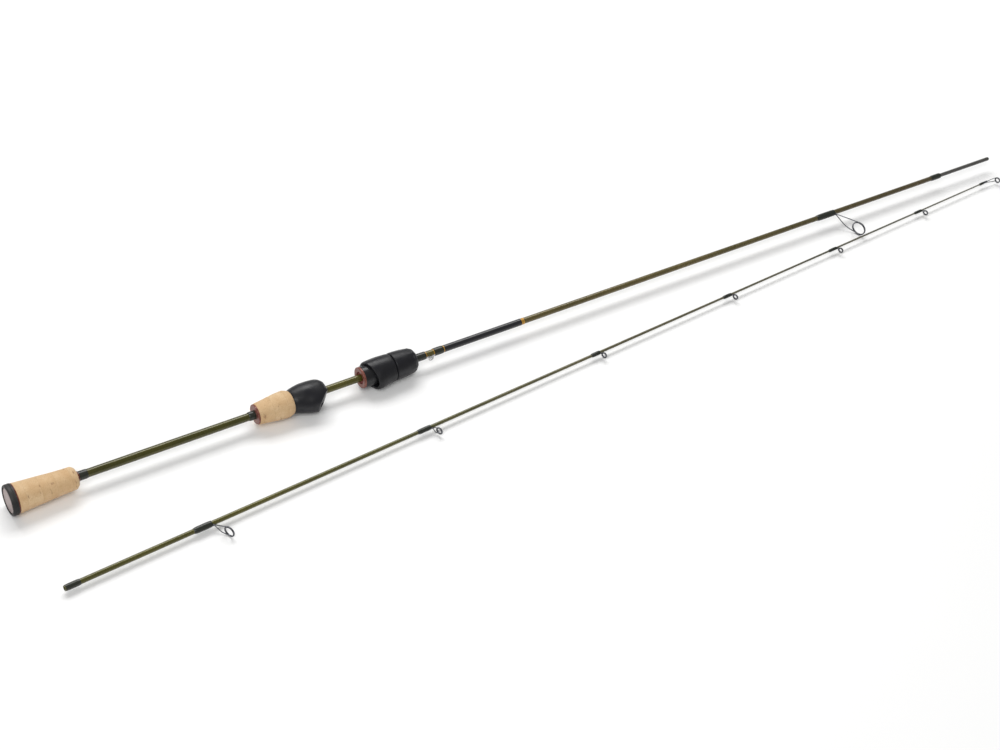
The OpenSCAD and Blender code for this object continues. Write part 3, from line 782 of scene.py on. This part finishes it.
def cap_plate_piece():
    """Plate set in the recess, slightly domed, with a turned groove near its edge."""
    cad = Cad("butt_cap_plate")
    z0 = cad.z0
    r = cad.r1
    chain = [(z0 - 0.12, 0), (z0 - 0.08, 3.5), (z0, r * 0.78), (z0 + 0.16, r * 0.81), (z0 + 0.16, r * 0.84),
             (z0, r * 0.87), (z0 + 0.05, r - 0.3), (z0 + 0.35, r), (cad.z1, r), (cad.z1, 0)]
    chain = divided(filleted(chain, 0.2, 3), 0.6)
    piece = turned("butt_cap_plate_look", chain, 96, closed=False, place=cad.section.place)
    return finish_piece(piece, "butt_cap_plate")


def butt_blank_piece():
    """The hollow blank, with its taper and softened ends."""
    cad = cad_butt
    bore_front = MOUNTS["spigot"]["dims"]["r_mm"] - SPIGOT_STEP + 0.01
    chain = cad.outline(40, 0.02) + [(cad.z1, bore_front), (cad.z1 - 70, bore_front), (cad.z1 - 300, 1.85),
                                     (cad.z0 + 300, 2.35), (cad.z0, 2.75)]
    chain = divided(filleted(chain, 0.12, 2, closed=True), 5.0, closed=True)
    return finish_piece(turned("butt_blank_look", chain, 48, place=cad.section.place), "butt_blank")


def tip_blank_piece():
    """The fine blank, with the open socket at its lower end."""
    cad = cad_tip
    socket = MOUNTS["ferrule_socket"]["dims"]
    depth = socket["length_mm"]
    chain = [(depth + 4, 0), (depth, socket["r_mm"]), (0, socket["r_mm"])] + cad.outline(40, 0.01)
    chain += [(cad.z1, 0)]
    chain = divided(filleted(chain, 0.1, 2), 5.0)
    piece = turned("tip_blank_look", chain, 40, closed=False, place=cad.section.place)
    return finish_piece(piece, "tip_blank")


def spigot_piece():
    """The plug of the joint, ground smooth, with a rounded end."""
    cad = Cad("spigot")
    r = MOUNTS["spigot"]["dims"]["r_mm"]
    seat = r - SPIGOT_STEP - 0.01
    shoulder = cad_butt.z1 + 1.2
    chain = [(cad.z0, 0), (cad.z0, seat), (shoulder, seat), (shoulder, r), (cad.z1 - 1.2, r),
             (cad.z1 - 0.5, r - 0.3), (cad.z1, r - 0.9), (cad.z1, 0)]
    chain = divided(filleted(chain, 0.25, 3), 3.0)
    piece = turned("spigot_look", chain, 48, closed=False, place=cad.section.place)
    return finish_piece(piece, "spigot")


def wrap_piece(node, foot_side=False):
    """Thread wound over the blank, swelling smoothly under its varnish."""
    cad = Cad(node)
    z0 = cad.z0
    z1 = cad.z1
    length = z1 - z0
    bore = min(cad.r0, blank_radius(node, z1)) + 0.01
    first = cad.radius(z0 + 0.03)
    last = cad.radius(z1 - 0.03)
    rows = round(length / WRAP_STEP)
    chain = [(z0, bore)]
    for i in range(rows + 1):
        t = i / rows
        edge = first + (last - first) * t
        swell = 1 - abs(2 * t - 1) ** 5
        chain.append((z0 + length * t, edge + (cad.r1 - edge) * swell - WRAP_RIDGE))
    chain.append((z1, bore))
    hump = FOOT_HUMP if foot_side else 0.0

    def over_foot(r, turn, z):
        side = max(0.0, math.cos(turn)) ** 6
        ends = min(1.0, (z - z0) / 2.5, (z1 - z) / 1.0 + 0.5)
        return r + hump * side * max(0.0, ends) if r > bore + 0.01 else r

    piece = turned(node + "_look", chain, WRAP_SEGMENTS, place=cad.section.place, radius=over_foot)
    inverse = cad.section.inverse
    piece = grown(piece, WOUND, Pitch=WRAP_PITCH, Depth=WRAP_RIDGE, From=z0, To=z1, Fade=0.8,
                  Inverse_Place=inverse, Material=FINISH["thread_wrap"])
    return finish_piece(piece, node)


def band_piece(node):
    """Thin trim bands over the blank: one closed ring for each."""
    cad = Cad(node)
    parts = []
    for i, (z0, z1, r) in enumerate(rings_of(cad)):
        bore = blank_radius(node, z1) + 0.01
        chain = [(z0, bore), (z0, r), (z1, r), (z1, bore)]
        chain = divided(filleted(chain, 0.12, 3, closed=True), 0.5, closed=True)
        parts.append(turned(f"{node}_{i}", chain, 64, place=cad.section.place))
    return finish_piece(joined(node + "_look", parts), node)


def rings_of(cad):
    """The separate rings in a CAD node, as (start, end, radius)."""
    found = []
    step = 0.05
    z = cad.z0 + step / 2
    start = None
    while z <= cad.z1 + step:
        hit = cad.tree.ray_cast(Vector((-50, 0.01, z)), Vector((1, 0, 0)))[3]
        if hit is not None and start is None:
            start = z - step / 2
            r = 50 - hit
        if hit is None and start is not None:
            found.append((start, z - step / 2, r + 0.02))
            start = None
        z += step
    return found


SPIGOT_STEP = 0.2
CORK_PORE_DEPTH = 0.3
WRAP_STEP = 0.08
WRAP_PITCH = 0.4
WRAP_RIDGE = 0.02
WRAP_SEGMENTS = 44
FOOT_HUMP = 0.2

for ring in ("butt_cap_check", "butt_cork_check", "seat_cork_check"):
    collar_piece(ring)
for number, cork in enumerate(("butt_cork", "seat_cork")):
    cork_piece(cork, 26 - 12 * number, 7 + number)
cap_piece()
cap_plate_piece()
butt_blank_piece()
tip_blank_piece()
spigot_piece()
for node in BODY_OF:
    if node.endswith("_wrap"):
        wrap_piece(node, "guide" in node)
for node in ("keeper_trim", "label_trim", "label_sleeve"):
    band_piece(node)


# ---------- reel seat ----------

def smooth_lookup(points):
    """A smooth radius between the points of a profile."""
    path = [p.to_2d() for p in smooth_path([(z, r, 0) for z, r in points], 0.25)]

    def radius(z):
        if z <= path[0].x:
            return path[0].y
        for a, b in zip(path, path[1:]):
            if z <= b.x:
                share = (z - a.x) / max(b.x - a.x, 1e-6)
                return a.y + (b.y - a.y) * share
        return path[-1].y
    return radius


def soft_max(a, b, blend):
    """The larger of two lengths, with the corner between them rounded."""
    gap = max(blend - abs(a - b), 0.0) / blend
    return max(a, b) + gap * gap * blend * 0.25


def hood_radius(body, bulge, offset, first, last, facet_ends):
    """Radius of a hood: a turned body, a bulge on the foot side, and broad facets near its ends."""
    def radius(_, turn, z):
        r = body(z)
        reach = bulge(z)
        if reach > 0:
            side = offset * math.sin(turn)
            if reach > abs(side):
                r = soft_max(r, offset * math.cos(turn) + math.sqrt(reach * reach - side * side), 1.2)
        near = [max(0.0, 1 - abs(z - end) / span) for end, span in zip((first, last), facet_ends)]
        flat = max(near)
        part = TURN / FACETS
        turn_in = (turn + part / 2) % part - part / 2
        faceted = math.cos(part / 2) / math.cos(turn_in)
        return r * (1 + flat * FACET_DEPTH * (faceted - 1))
    return radius


def softened(piece, voxel, passes, ratio=1.0):
    """Rounds every edge of a closed piece a little."""
    remesh = piece.modifiers.new("fuse", "REMESH")
    remesh.mode = "VOXEL"
    remesh.voxel_size = voxel
    relax = piece.modifiers.new("relax", "SMOOTH")
    relax.factor = 0.5
    relax.iterations = passes
    if ratio < 1:
        thin = piece.modifiers.new("thin", "DECIMATE")
        thin.ratio = ratio
    evaluated_mesh(piece)
    piece.data.shade_smooth()
    return piece


def solid_bar(name, corners, place):
    """A closed block through eight corners, given as its lower and its upper four."""
    faces = [(3, 2, 1, 0), (4, 5, 6, 7), (0, 1, 5, 4), (1, 2, 6, 5), (2, 3, 7, 6), (3, 0, 4, 7)]
    mesh = bpy.data.meshes.new(name)
    mesh.from_pydata([tuple(c) for c in corners], [], faces)
    finish_mesh(mesh, place)
    return new_object(name, mesh)


def block(name, low, high, place):
    (x0, y0, z0), (x1, y1, z1) = low, high
    corners = [(x0, y0, z0), (x1, y0, z0), (x1, y1, z0), (x0, y1, z0),
               (x0, y0, z1), (x1, y0, z1), (x1, y1, z1), (x0, y1, z1)]
    return solid_bar(name, corners, place)


def rod_cutter(name, z0, z1, r, place, offset=0.0):
    """A round cutter along the section."""
    chain = [(z0, 0), (z0, r), (z1, r), (z1, 0)]
    return turned(name, chain, 96, closed=False, place=place @ Matrix.Translation((offset, 0, 0)))


def foot_cutter(name, z0, z1, place):
    """The room for one end of a reel's foot: a crescent outside the barrel."""
    crescent = rod_cutter(name, z0, z1, POCKET_R, place, BULGE_OFFSET)
    cheeks = [block(name + str(side), (-30, side * FOOT_HALF_WIDTH, z0 - 1), (30, side * 30, z1 + 1), place)
              for side in (-1, 1)]
    return cut(crescent, cheeks)


def hood_body(name, z0, z1, body, bulge, facet_ends, place):
    """The outside of a hood, closed, before it is cut."""
    count = round((z1 - z0) / 0.4)
    chain = [(z0, 0)] + [(z0 + (z1 - z0) * i / count, 1) for i in range(count + 1)] + [(z1, 0)]
    radius = hood_radius(body, bulge, BULGE_OFFSET, z0, z1, facet_ends)
    return turned(name, chain, 144, closed=False, place=place, radius=radius)


def placed(piece, place):
    """Moves a piece that was made in its section's millimetres to where it belongs."""
    piece.data.transform(place)
    return piece


def fixed_hood_piece():
    cad = Cad("fixed_hood")
    place = Matrix.Identity(4)
    z0 = cad.z0
    body = smooth_lookup([(z0 + z, r) for z, r in FIXED_HOOD_BODY])
    bulge_curve = smooth_lookup([(z0 + z, r) for z, r in FIXED_HOOD_BULGE])
    starts = z0 + FIXED_HOOD_BULGE[0][0]

    def bulge(z):
        return bulge_curve(z) if z >= starts else 0.0

    piece = hood_body("fixed_hood_look", z0, cad.z1, body, bulge, (3.0, 8.0), place)
    pocket = foot_cutter("pocket", z0 + FIXED_POCKET_START, cad.z1 + 3, place)
    core = rod_cutter("core", z0 + 5, cad.z1 + 5, BARREL_R - 0.2, place)
    pocket = cut(pocket, [core])
    bore = rod_cutter("bore", z0 - 2, z0 + 28, SEAT_BORE_R, place)
    throat = rod_cutter("throat", z0 - 2, cad.z1 + 2, blank_radius("fixed_hood", z0) + 0.15, place)
    cut(piece, [pocket, bore, throat, slanted_cutter("visor", VISOR_X, z0 + VISOR_Z, VISOR_SLANT, place)])
    return finish_piece(placed(softened(piece, 0.26, 5, 0.7), cad.section.place), "fixed_hood")


def slanted_cutter(name, x, z, slant, place):
    """A block whose one face leans towards the axis by slant from the point (x, z)."""
    turn = Matrix.Rotation(-slant, 4, "Y")
    return block(name, (0, -30, -30), (40, 30, 30), place @ Matrix.Translation((x, 0, z)) @ turn)


def moving_hood_piece():
    cad = Cad("moving_hood")
    place = Matrix.Identity(4)
    z1 = cad.z1
    z0 = z1 - MOVING_HOOD_BODY[-1][0]
    body = smooth_lookup([(z0 + z, r) for z, r in MOVING_HOOD_BODY])
    bulge = smooth_lookup([(z0 + z, r) for z, r in MOVING_HOOD_BULGE])
    piece = hood_body("moving_hood_look", z0, z1, body, bulge, (5.0, 3.0), place)
    lean = place @ Matrix.Translation((-13, 0, z0)) @ Matrix.Rotation(-math.radians(HOOD_SLANT), 4, "Y")
    slant = block("slant", (-20, -30, -30), (60, 30, 0), lean)
    bore = rod_cutter("bore", z0 - 2, z1 + 2, HOOD_BORE_R, place)
    recess = rod_cutter("recess", NUT_SLEEVE_START - 0.3, z1 + 2, NUT_SLEEVE_R + 0.32, place)
    pocket = foot_cutter("pocket", z0 - 2, z0 + MOVING_POCKET_END, place)
    cut(piece, [slant, bore, recess, pocket])
    return finish_piece(placed(softened(piece, 0.25, 4, 0.7), cad.section.place), "moving_hood")


def lock_nut_piece():
    """The nut: a rear sleeve, a dark seam, a broad shoulder and a faceted, rounded front."""
    cad = Cad("lock_nut")
    z1 = cad.z1
    seam = z1 - NUT_BODY_LENGTH
    outer = [(seam, 10.9), (seam + 0.35, 11.45), (seam + 0.9, 11.85), (seam + 4, 11.9), (seam + 9, 11.7),
             (seam + 14, 11.3), (seam + 17.5, 10.8), (z1 - 2.4, 9.9), (z1 - 0.9, 8.6),
             (z1 - 0.15, 7.2), (z1, 6.4)]
    skin = [p.to_2d() for p in smooth_path([(z, r, 0) for z, r in outer], 0.35)]
    chain = [(cad.z0, HOOD_BORE_R), (cad.z0, NUT_SLEEVE_R), (seam, NUT_SLEEVE_R)] + skin
    chain += [(z1, cad.r0 + 0.1), (z1 - 0.4, NUT_MOUTH_R), (NUT_CAVITY_END, NUT_MOUTH_R),
              (NUT_CAVITY_END, HOOD_BORE_R)]
    chain = divided(chain, 0.8, closed=True)

    def faceted(r, turn, z):
        if r < NUT_SLEEVE_R + 0.4 and z < z1 - 4 or r < 7:
            return r
        near = max(0.0, 1 - (z1 - z) / 12)
        part = TURN / NUT_FACETS
        turn_in = (turn + part / 2) % part - part / 2
        return r * (1 + near * 0.85 * (math.cos(part / 2) / math.cos(turn_in) - 1))

    piece = turned("lock_nut_look", chain, 144, place=cad.section.place, radius=faceted, sharp=30)
    return finish_piece(piece, "lock_nut")


def barrel_piece():
    """The seat's barrel with its screw thread, cut below the barrel's own surface."""
    cad = Cad("seat_barrel")
    bore = Cad("barrel_arbor").r1 + 0.02
    start = cad.z0
    thread_from = NUT_SLEEVE_START - 2
    thread_to = cad.z1 - 1.5
    chain = [(start, bore), (start, BARREL_R - 0.05), (start + 0.2, BARREL_R)]
    chain += [(thread_from - 0.6, BARREL_R), (thread_from, BARREL_R - THREAD_DEPTH)]
    chain += [(thread_to, BARREL_R - THREAD_DEPTH), (cad.z1 - 0.6, BARREL_R - THREAD_DEPTH),
              (cad.z1, BARREL_R - 0.9), (cad.z1, bore)]
    chain = divided(chain, 0.14, closed=True)
    piece = turned("seat_barrel_look", chain, 72, place=cad.section.place)
    piece = grown(piece, WOUND, Pitch=THREAD_LEAD, Depth=THREAD_DEPTH, From=thread_from, To=thread_to,
                  Fade=1.0, Inverse_Place=cad.section.inverse, Material=FINISH["barrel_plastic"])
    return finish_piece(piece, "seat_barrel")


def barrel_ring_piece():
    """Trim disc at the barrel's rear, slightly dished."""
    cad = Cad("barrel_ring")
    bore = Cad("barrel_arbor").r1 + 0.02
    z0 = cad.z0
    chain = [(z0 + 0.6, bore), (z0 + 0.15, bore + 0.5), (z0 + 0.1, bore + 1.4), (z0, cad.r1 - 1.1),
             (z0 + 0.1, cad.r1 - 0.35), (z0 + 0.5, cad.r1), (cad.z1, cad.r1), (cad.z1, bore)]
    chain = divided(filleted(chain, 0.2, 3, closed=True), 0.5, closed=True)
    return finish_piece(turned("barrel_ring_look", chain, 96, place=cad.section.place), "barrel_ring")


def arbor_piece(node):
    """Bush between the blank and the seat, with lengthwise glue grooves."""
    cad = Cad(node)
    bore = blank_radius(node, cad.z0) + 0.02
    chain = [(cad.z0, bore), (cad.z0, cad.r1 - 0.25), (cad.z0 + 0.3, cad.r1), (cad.z1 - 0.3, cad.r1),
             (cad.z1, cad.r1 - 0.25), (cad.z1, bore)]
    chain = divided(chain, 1.0, closed=True)

    def grooved(r, turn, z):
        return r - 0.25 * max(0.0, math.cos(turn * 8)) ** 6 if r > cad.r1 - 0.5 else r

    return finish_piece(turned(node + "_look", chain, 128, place=cad.section.place, radius=grooved), node)


FACETS = 8
FACET_DEPTH = 0.45
NUT_FACETS = 10
BARREL_R = 9.1
SEAT_BORE_R = 5.25
BULGE_OFFSET = 4.0
POCKET_R = 8.2
FOOT_HALF_WIDTH = 6.5
HOOD_BORE_R = 9.15
HOOD_SLANT = 15
NUT_SLEEVE_R = 10.3
NUT_SLEEVE_START = Cad("lock_nut").z0
NUT_MOUTH_R = 5.0
NUT_CAVITY_END = Cad("lock_nut").z1 - 3.8
THREAD_LEAD = 2.0
THREAD_DEPTH = 0.28
VISOR_SLANT = math.radians(41.5)
VISOR_X = 13.5
VISOR_Z = 20.5
FIXED_POCKET_START = 10
MOVING_POCKET_END = 14
NUT_BODY_LENGTH = 22.2
FIXED_HOOD_BODY = [(0, 9.6), (2, 10.4), (5, 11.1), (9, 11.8), (13, 12.1), (19, 12.0), (24.5, 11.5),
                   (27.5, 10.6), (30, 8.8), (31, 7.0)]
FIXED_HOOD_BULGE = [(3, 6.4), (7, 8.4), (12, 10.1), (16, 11.0), (21, 11.3), (26, 10.6), (29, 9.2), (31, 7.6)]
MOVING_HOOD_BODY = [(0, 10.4), (0.8, 10.9), (3, 11.7), (9, 12.1), (14, 12.2), (20, 12.0), (24.1, 11.8),
                    (24.8, 11.0)]
MOVING_HOOD_BULGE = [(0, 9.2), (5, 9.9), (9, 10.7), (12, 10.4), (16, 9.6), (22, 8.6), (24.8, 8.1)]

fixed_hood_piece()
moving_hood_piece()
lock_nut_piece()
barrel_piece()
barrel_ring_piece()
arbor_piece("fixed_hood_arbor")
arbor_piece("barrel_arbor")


# ---------- wire, rings and feet ----------

def wire_piece(name, points, radius, place, closed=False, sides=14, step=0.25):
    """Wire bent along a route given in its section's own millimetres."""
    route = smooth_path(points, step) if not closed else [Vector(p) for p in points]
    curve = bpy.data.curves.new(name, "CURVE")
    curve.dimensions = "3D"
    spline = curve.splines.new("POLY")
    spline.points.add(len(route) - 1)
    for point, at in zip(spline.points, route):
        point.co = (*(place @ at), 1.0)
    spline.use_cyclic_u = closed
    wire = bpy.data.objects.new(name, curve)
    bpy.context.scene.collection.objects.link(wire)
    made = grown(wire, WIRE, Radius=radius * MM, Sides=sides, Material=FINISH["guide_frame"])
    return made


def tongue(name, z0, z1, half_width, r_in, height, place, toe=2.5):
    """A flat foot lying on the blank: crowned, thin at its toe."""
    columns = 10
    rows = max(4, round((z1 - z0) / 0.6))
    verts = []
    for side in (0, 1):
        for j in range(rows + 1):
            z = z0 + (z1 - z0) * j / rows
            taper = min(1.0, 0.45 + 0.55 * (z - z0) / toe)
            for i in range(columns + 1):
                across = (2 * i / columns - 1)
                crown = 1 - 0.35 * across ** 4
                rise = height * min(1.0, 0.2 + (z - z0) / toe) * crown if side else 0.0
                turn = across * half_width * taper / r_in
                verts.append(((r_in + rise) * math.cos(turn), (r_in + rise) * math.sin(turn), z))
    layer = (rows + 1) * (columns + 1)

    def at(side, j, i):
        return side * layer + j * (columns + 1) + i

    faces = []
    for j in range(rows):
        for i in range(columns):
            for side in (0, 1):
                faces.append((at(side, j, i), at(side, j, i + 1),
                              at(side, j + 1, i + 1), at(side, j + 1, i)))
        for i in (0, columns):
            faces.append((at(0, j, i), at(0, j + 1, i), at(1, j + 1, i), at(1, j, i)))
    for i in range(columns):
        for j in (0, rows):
            faces.append((at(0, j, i), at(0, j, i + 1), at(1, j, i + 1), at(1, j, i)))
    mesh = bpy.data.meshes.new(name)
    mesh.from_pydata(verts, [], faces)
    finish_mesh(mesh, place)
    return new_object(name, mesh)


class Ring:
    """A guide ring: its middle, its own frame, and its bore, from its mount."""

    def __init__(self, mount, section):
        self.section = section
        self.middle = section.local(MOUNTS[mount]["pos_m"])
        axis = section.inverse.to_3x3() @ Vector(MOUNTS[mount]["axis"])
        axis = axis.normalized() * (1 if axis.z > 0 else -1)
        self.axis = axis
        self.side = Vector((0, 1, 0))
        self.up = self.side.cross(axis)
        self.bore = MOUNTS[mount]["dims"]["r_mm"]
        self.band = self.bore + INSERT_WALL
        self.outer = self.band + BAND_WALL
        turn = Matrix((self.up, self.side, axis)).transposed().to_4x4()
        self.place = section.place @ Matrix.Translation(self.middle) @ turn

    def at(self, turn, radius, along=0.0):
        turn = math.radians(turn)
        return (self.middle + self.up * radius * math.cos(turn) + self.side * radius * math.sin(turn)
                + self.axis * along)


def insert_piece(node, ring, half):
    """The polished inner ring."""
    r = ring.bore
    chain = [(-half, ring.band - 0.02), (-half, r + 0.3), (-half * 0.62, r), (half * 0.62, r),
             (half, r + 0.3), (half, ring.band - 0.02)]
    chain = divided(filleted(chain, 0.3, 5, closed=True), 0.3, closed=True)
    piece = turned(node + "_look", chain, 80, place=ring.place, sharp=60)
    return finish_piece(piece, node)


def band_shell(name, ring, half):
    """The band that holds the inner ring."""
    chain = [(-half, ring.band), (-half, ring.outer), (half, ring.outer), (half, ring.band)]
    chain = divided(filleted(chain, 0.2, 4, closed=True), 0.3, closed=True)
    return turned(name, chain, 80, place=ring.place, sharp=60)


def leg_shell(name, ring, start, side, turn, bow, wire, place):
    """One leg: out of the foot, bowed, and laid along the ring's band."""
    finish = ring.at(side * turn, ring.outer - 0.2)
    middle = start.lerp(finish, 0.55) + Vector((bow * 0.2, side * bow, -bow * 0.6))
    lap = [ring.at(side * (turn - step), ring.outer - 0.2 + fall) for step, fall in ((9, 0.0), (20, -0.12))]
    spread = side * 0.3
    route = [start + Vector((-0.25, spread * 0.4, -1.6)), start + Vector((-0.05, spread, -0.2)),
             start + Vector((0.5, side * 0.55, 0.9)), middle, finish] + lap
    return wire_piece(name, route, wire, place)


def guide_pieces(prefix, mount, wrap, wire, half, turn, bow, foot_width):
    """A wire guide: foot, two legs, band and inner ring."""
    cad = Cad(wrap)
    section = cad.section
    place = section.place
    ring = Ring(mount, section)
    base = blank_radius(wrap, cad.z1)
    start = Vector((base + wire * 1.05, 0, cad.z1 + 0.45))
    frame_node = prefix + "_frame"
    foot = tongue(frame_node + "_foot", cad.z0 + 1.2, cad.z1 + FOOT_OUT, foot_width / 2, base + 0.03,
                  FOOT_HEIGHT, place)
    parts = [foot, band_shell(frame_node + "_band", ring, half)]
    for side in (-1, 1):
        parts.append(leg_shell(f"{frame_node}_leg{side}", ring, start, side, turn, bow, wire, place))
    finish_piece(joined(frame_node + "_look", parts), frame_node)
    insert_piece(prefix + "_ring", ring, half + 0.2)


def tip_top_pieces():
    """Tip top: tube over the blank's end, two legs, band and inner ring."""
    cad = Cad("tip_top_tube")
    place = cad.section.place
    ring = Ring("tip_top_line_bore", cad.section)
    r = TIP_TUBE_R
    bore = blank_radius("tip_blank", cad_tip.z1) + 0.03
    end = cad_tip.z1 + 5
    start = cad.z0
    chain = [(cad_tip.z1 + 0.2, 0), (cad_tip.z1 + 0.2, bore), (start, bore), (start, r), (end - 1.2, r),
             (end - 0.4, r * 0.8), (end, r * 0.3), (end, 0)]
    chain = divided(filleted(chain, 0.3, 3), 0.6)
    parts = [turned("tube", chain, 40, closed=False, place=place), band_shell("band", ring, 0.6)]
    for side in (-1, 1):
        finish = ring.at(side * 135, ring.outer - 0.2)
        bend = Vector((0.7, side * 1.1, end + 1.5))
        spread = finish.lerp(bend, 0.35) + Vector((0.0, side * 0.35, 0))
        route = [Vector((0.3, side * 0.45, end - 4)), Vector((0.55, side * 0.65, end - 1.5)), bend, spread,
                 finish, ring.at(side * 118, ring.outer - 0.2)]
        parts.append(wire_piece("leg", route, TIP_LEG_WIRE, place))
    finish_piece(joined("tip_top_tube_look", parts), "tip_top_tube")
    insert_piece("tip_top_ring", ring, 0.8)


def keeper_pieces():
    """Folding hook keeper: a loop of wire in a tube between two feet."""
    place = SECTIONS[BUTT].place
    pivot_joint = next(j for j in frame["joints"] if j["name"] == "keeper_swing")
    hinge = SECTIONS[BUTT].local(pivot_joint["pos_m"])
    base = blank_radius("keeper_base", hinge.z)
    tube_bore = KEEPER_WIRE + 0.05
    tube_chain = [(-1.2, tube_bore), (-1.2, KEEPER_TUBE), (1.2, KEEPER_TUBE), (1.2, tube_bore)]
    tube_chain = divided(filleted(tube_chain, 0.12, 3, closed=True), 0.3, closed=True)
    parts = [turned("tube", tube_chain, 40, place=place @ Matrix.Translation(hinge))]
    saddle_top = hinge.x - KEEPER_WIRE - 0.12
    parts.append(tongue("saddle", hinge.z - 1.2, hinge.z + 1.2, 0.75, base + 0.03, saddle_top - base,
                        place, 0.01))
    for way in (-1, 1):
        ends = sorted((hinge.z + way * 0.9, hinge.z + way * 7.5))
        parts.append(tongue("foot", *ends, 1.05, base + 0.03, 0.28, place, 0.01))
    finish_piece(joined("keeper_base_look", parts), "keeper_base")
    down = Vector(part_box("keeper_ring")[0]) + Vector(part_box("keeper_ring")[1])
    hang = (SECTIONS[BUTT].local(down / 2) - hinge)
    hang.z = 0
    hang.normalize()
    half = KEEPER_HALF
    loop = []
    for i in range(13):
        loop.append(hinge + Vector((0, 0, -half + 2 * half * i / 12)))
    for i in range(1, 4):
        loop.append(hinge + hang * KEEPER_DROP * i / 3 + Vector((0, 0, half)))
    for i in range(1, 24):
        turn = math.pi * i / 24
        across = Vector((0, 0, half * math.cos(turn)))
        loop.append(hinge + hang * (KEEPER_DROP + half * math.sin(turn)) + across)
    for i in range(3, 0, -1):
        loop.append(hinge + hang * KEEPER_DROP * i / 3 + Vector((0, 0, -half)))
    loop = filleted(divided(loop, 0.35, closed=True), 0.15, 1, closed=True)
    ring = wire_piece("keeper_ring_look", loop, KEEPER_WIRE, place, closed=True, sides=18)
    ring.data.shade_smooth()
    finish_piece(ring, "keeper_ring")


INSERT_WALL = 0.62
BAND_WALL = 0.5
FOOT_OUT = 0.8
FOOT_HEIGHT = 0.4
TIP_TUBE_R = 1.05
TIP_LEG_WIRE = 0.34
KEEPER_WIRE = 0.4
KEEPER_TUBE = 0.85
KEEPER_HALF = 2.1
KEEPER_DROP = 0.8
GUIDE_WIRES = [0.42, 0.36, 0.32, 0.3, 0.3, 0.3]
GUIDE_FEET = [2.2, 1.8, 1.5, 1.3, 1.2, 1.1]

guide_pieces("stripping_guide", "stripping_guide_line_bore", "stripping_guide_wrap", 0.46, 0.75, 100, 1.3,
             3.0)
for i, (wire, foot) in enumerate(zip(GUIDE_WIRES, GUIDE_FEET), 1):
    large = i < 3
    guide_pieces(f"guide_{i}", f"guide_{i}_line_bore", f"guide_{i}_wrap", wire, 0.55, 100 if large else 125,
                 0.7 if large else 0.1, foot)
tip_top_pieces()
keeper_pieces()


# ---------- floor, lights and camera ----------

def stage_floor():
    finish = Finish("pale_floor")
    tone = blended(finish.tree, finish.noise(3.0, 3.0), colour(250, 250, 250), colour(253, 253, 252))
    finish.set(Base_Color=tone, Roughness=0.9)
    bpy.ops.mesh.primitive_plane_add(size=12)
    floor = bpy.context.object
    floor.name = "floor"
    floor.data.materials.append(finish.material)


def area_light(name, place, aim, size, power):
    lamp = bpy.data.lights.new(name, "AREA")
    lamp.shape = "RECTANGLE"
    lamp.size, lamp.size_y = size
    lamp.energy = power
    thing = bpy.data.objects.new(name, lamp)
    bpy.context.scene.collection.objects.link(thing)
    thing.location = place
    thing.rotation_euler = (Vector(aim) - Vector(place)).to_track_quat("-Z", "Y").to_euler()


def world_light(strength):
    world = bpy.data.worlds.new("studio")
    world.use_nodes = True
    background = world.node_tree.nodes["Background"]
    background.inputs["Color"].default_value = (1.0, 1.0, 1.0, 1.0)
    background.inputs["Strength"].default_value = strength
    bpy.context.scene.world = world


def set_camera():
    heading = math.radians(CAMERA_HEADING)
    dip = math.radians(CAMERA_DIP)
    roll = math.radians(CAMERA_ROLL)
    ahead = Vector((math.sin(heading) * math.cos(dip), math.cos(heading) * math.cos(dip), -math.sin(dip)))
    level = Vector((math.cos(heading), -math.sin(heading), 0))
    upright = level.cross(ahead)
    right = level * math.cos(roll) + upright * math.sin(roll)
    up = upright * math.cos(roll) - level * math.sin(roll)
    lens = bpy.data.cameras.new("camera")
    lens.lens = CAMERA_LENS
    lens.sensor_width = 36
    lens.clip_start = 0.05
    camera = bpy.data.objects.new("camera", lens)
    bpy.context.scene.collection.objects.link(camera)
    turn = Matrix((right, up, -ahead)).transposed().to_4x4()
    camera.matrix_world = Matrix.Translation(CAMERA_PLACE) @ turn
    bpy.context.scene.camera = camera


CAMERA_PLACE = Vector((-0.8213, -0.898, 1.094))
CAMERA_HEADING = 38.89
CAMERA_DIP = 43.27
CAMERA_ROLL = 9.01
CAMERA_LENS = 68.4

stage_floor()
world_light(0.3)
area_light("key", (0.3, 1.5, 2.0), (0, 0, 0), (2.4, 1.2), 50)
area_light("fill", (-1.5, -1.3, 2.2), (0, 0, 0), (1.6, 1.6), 36)
set_camera()
bpy.context.scene.view_settings.view_transform = "Standard"
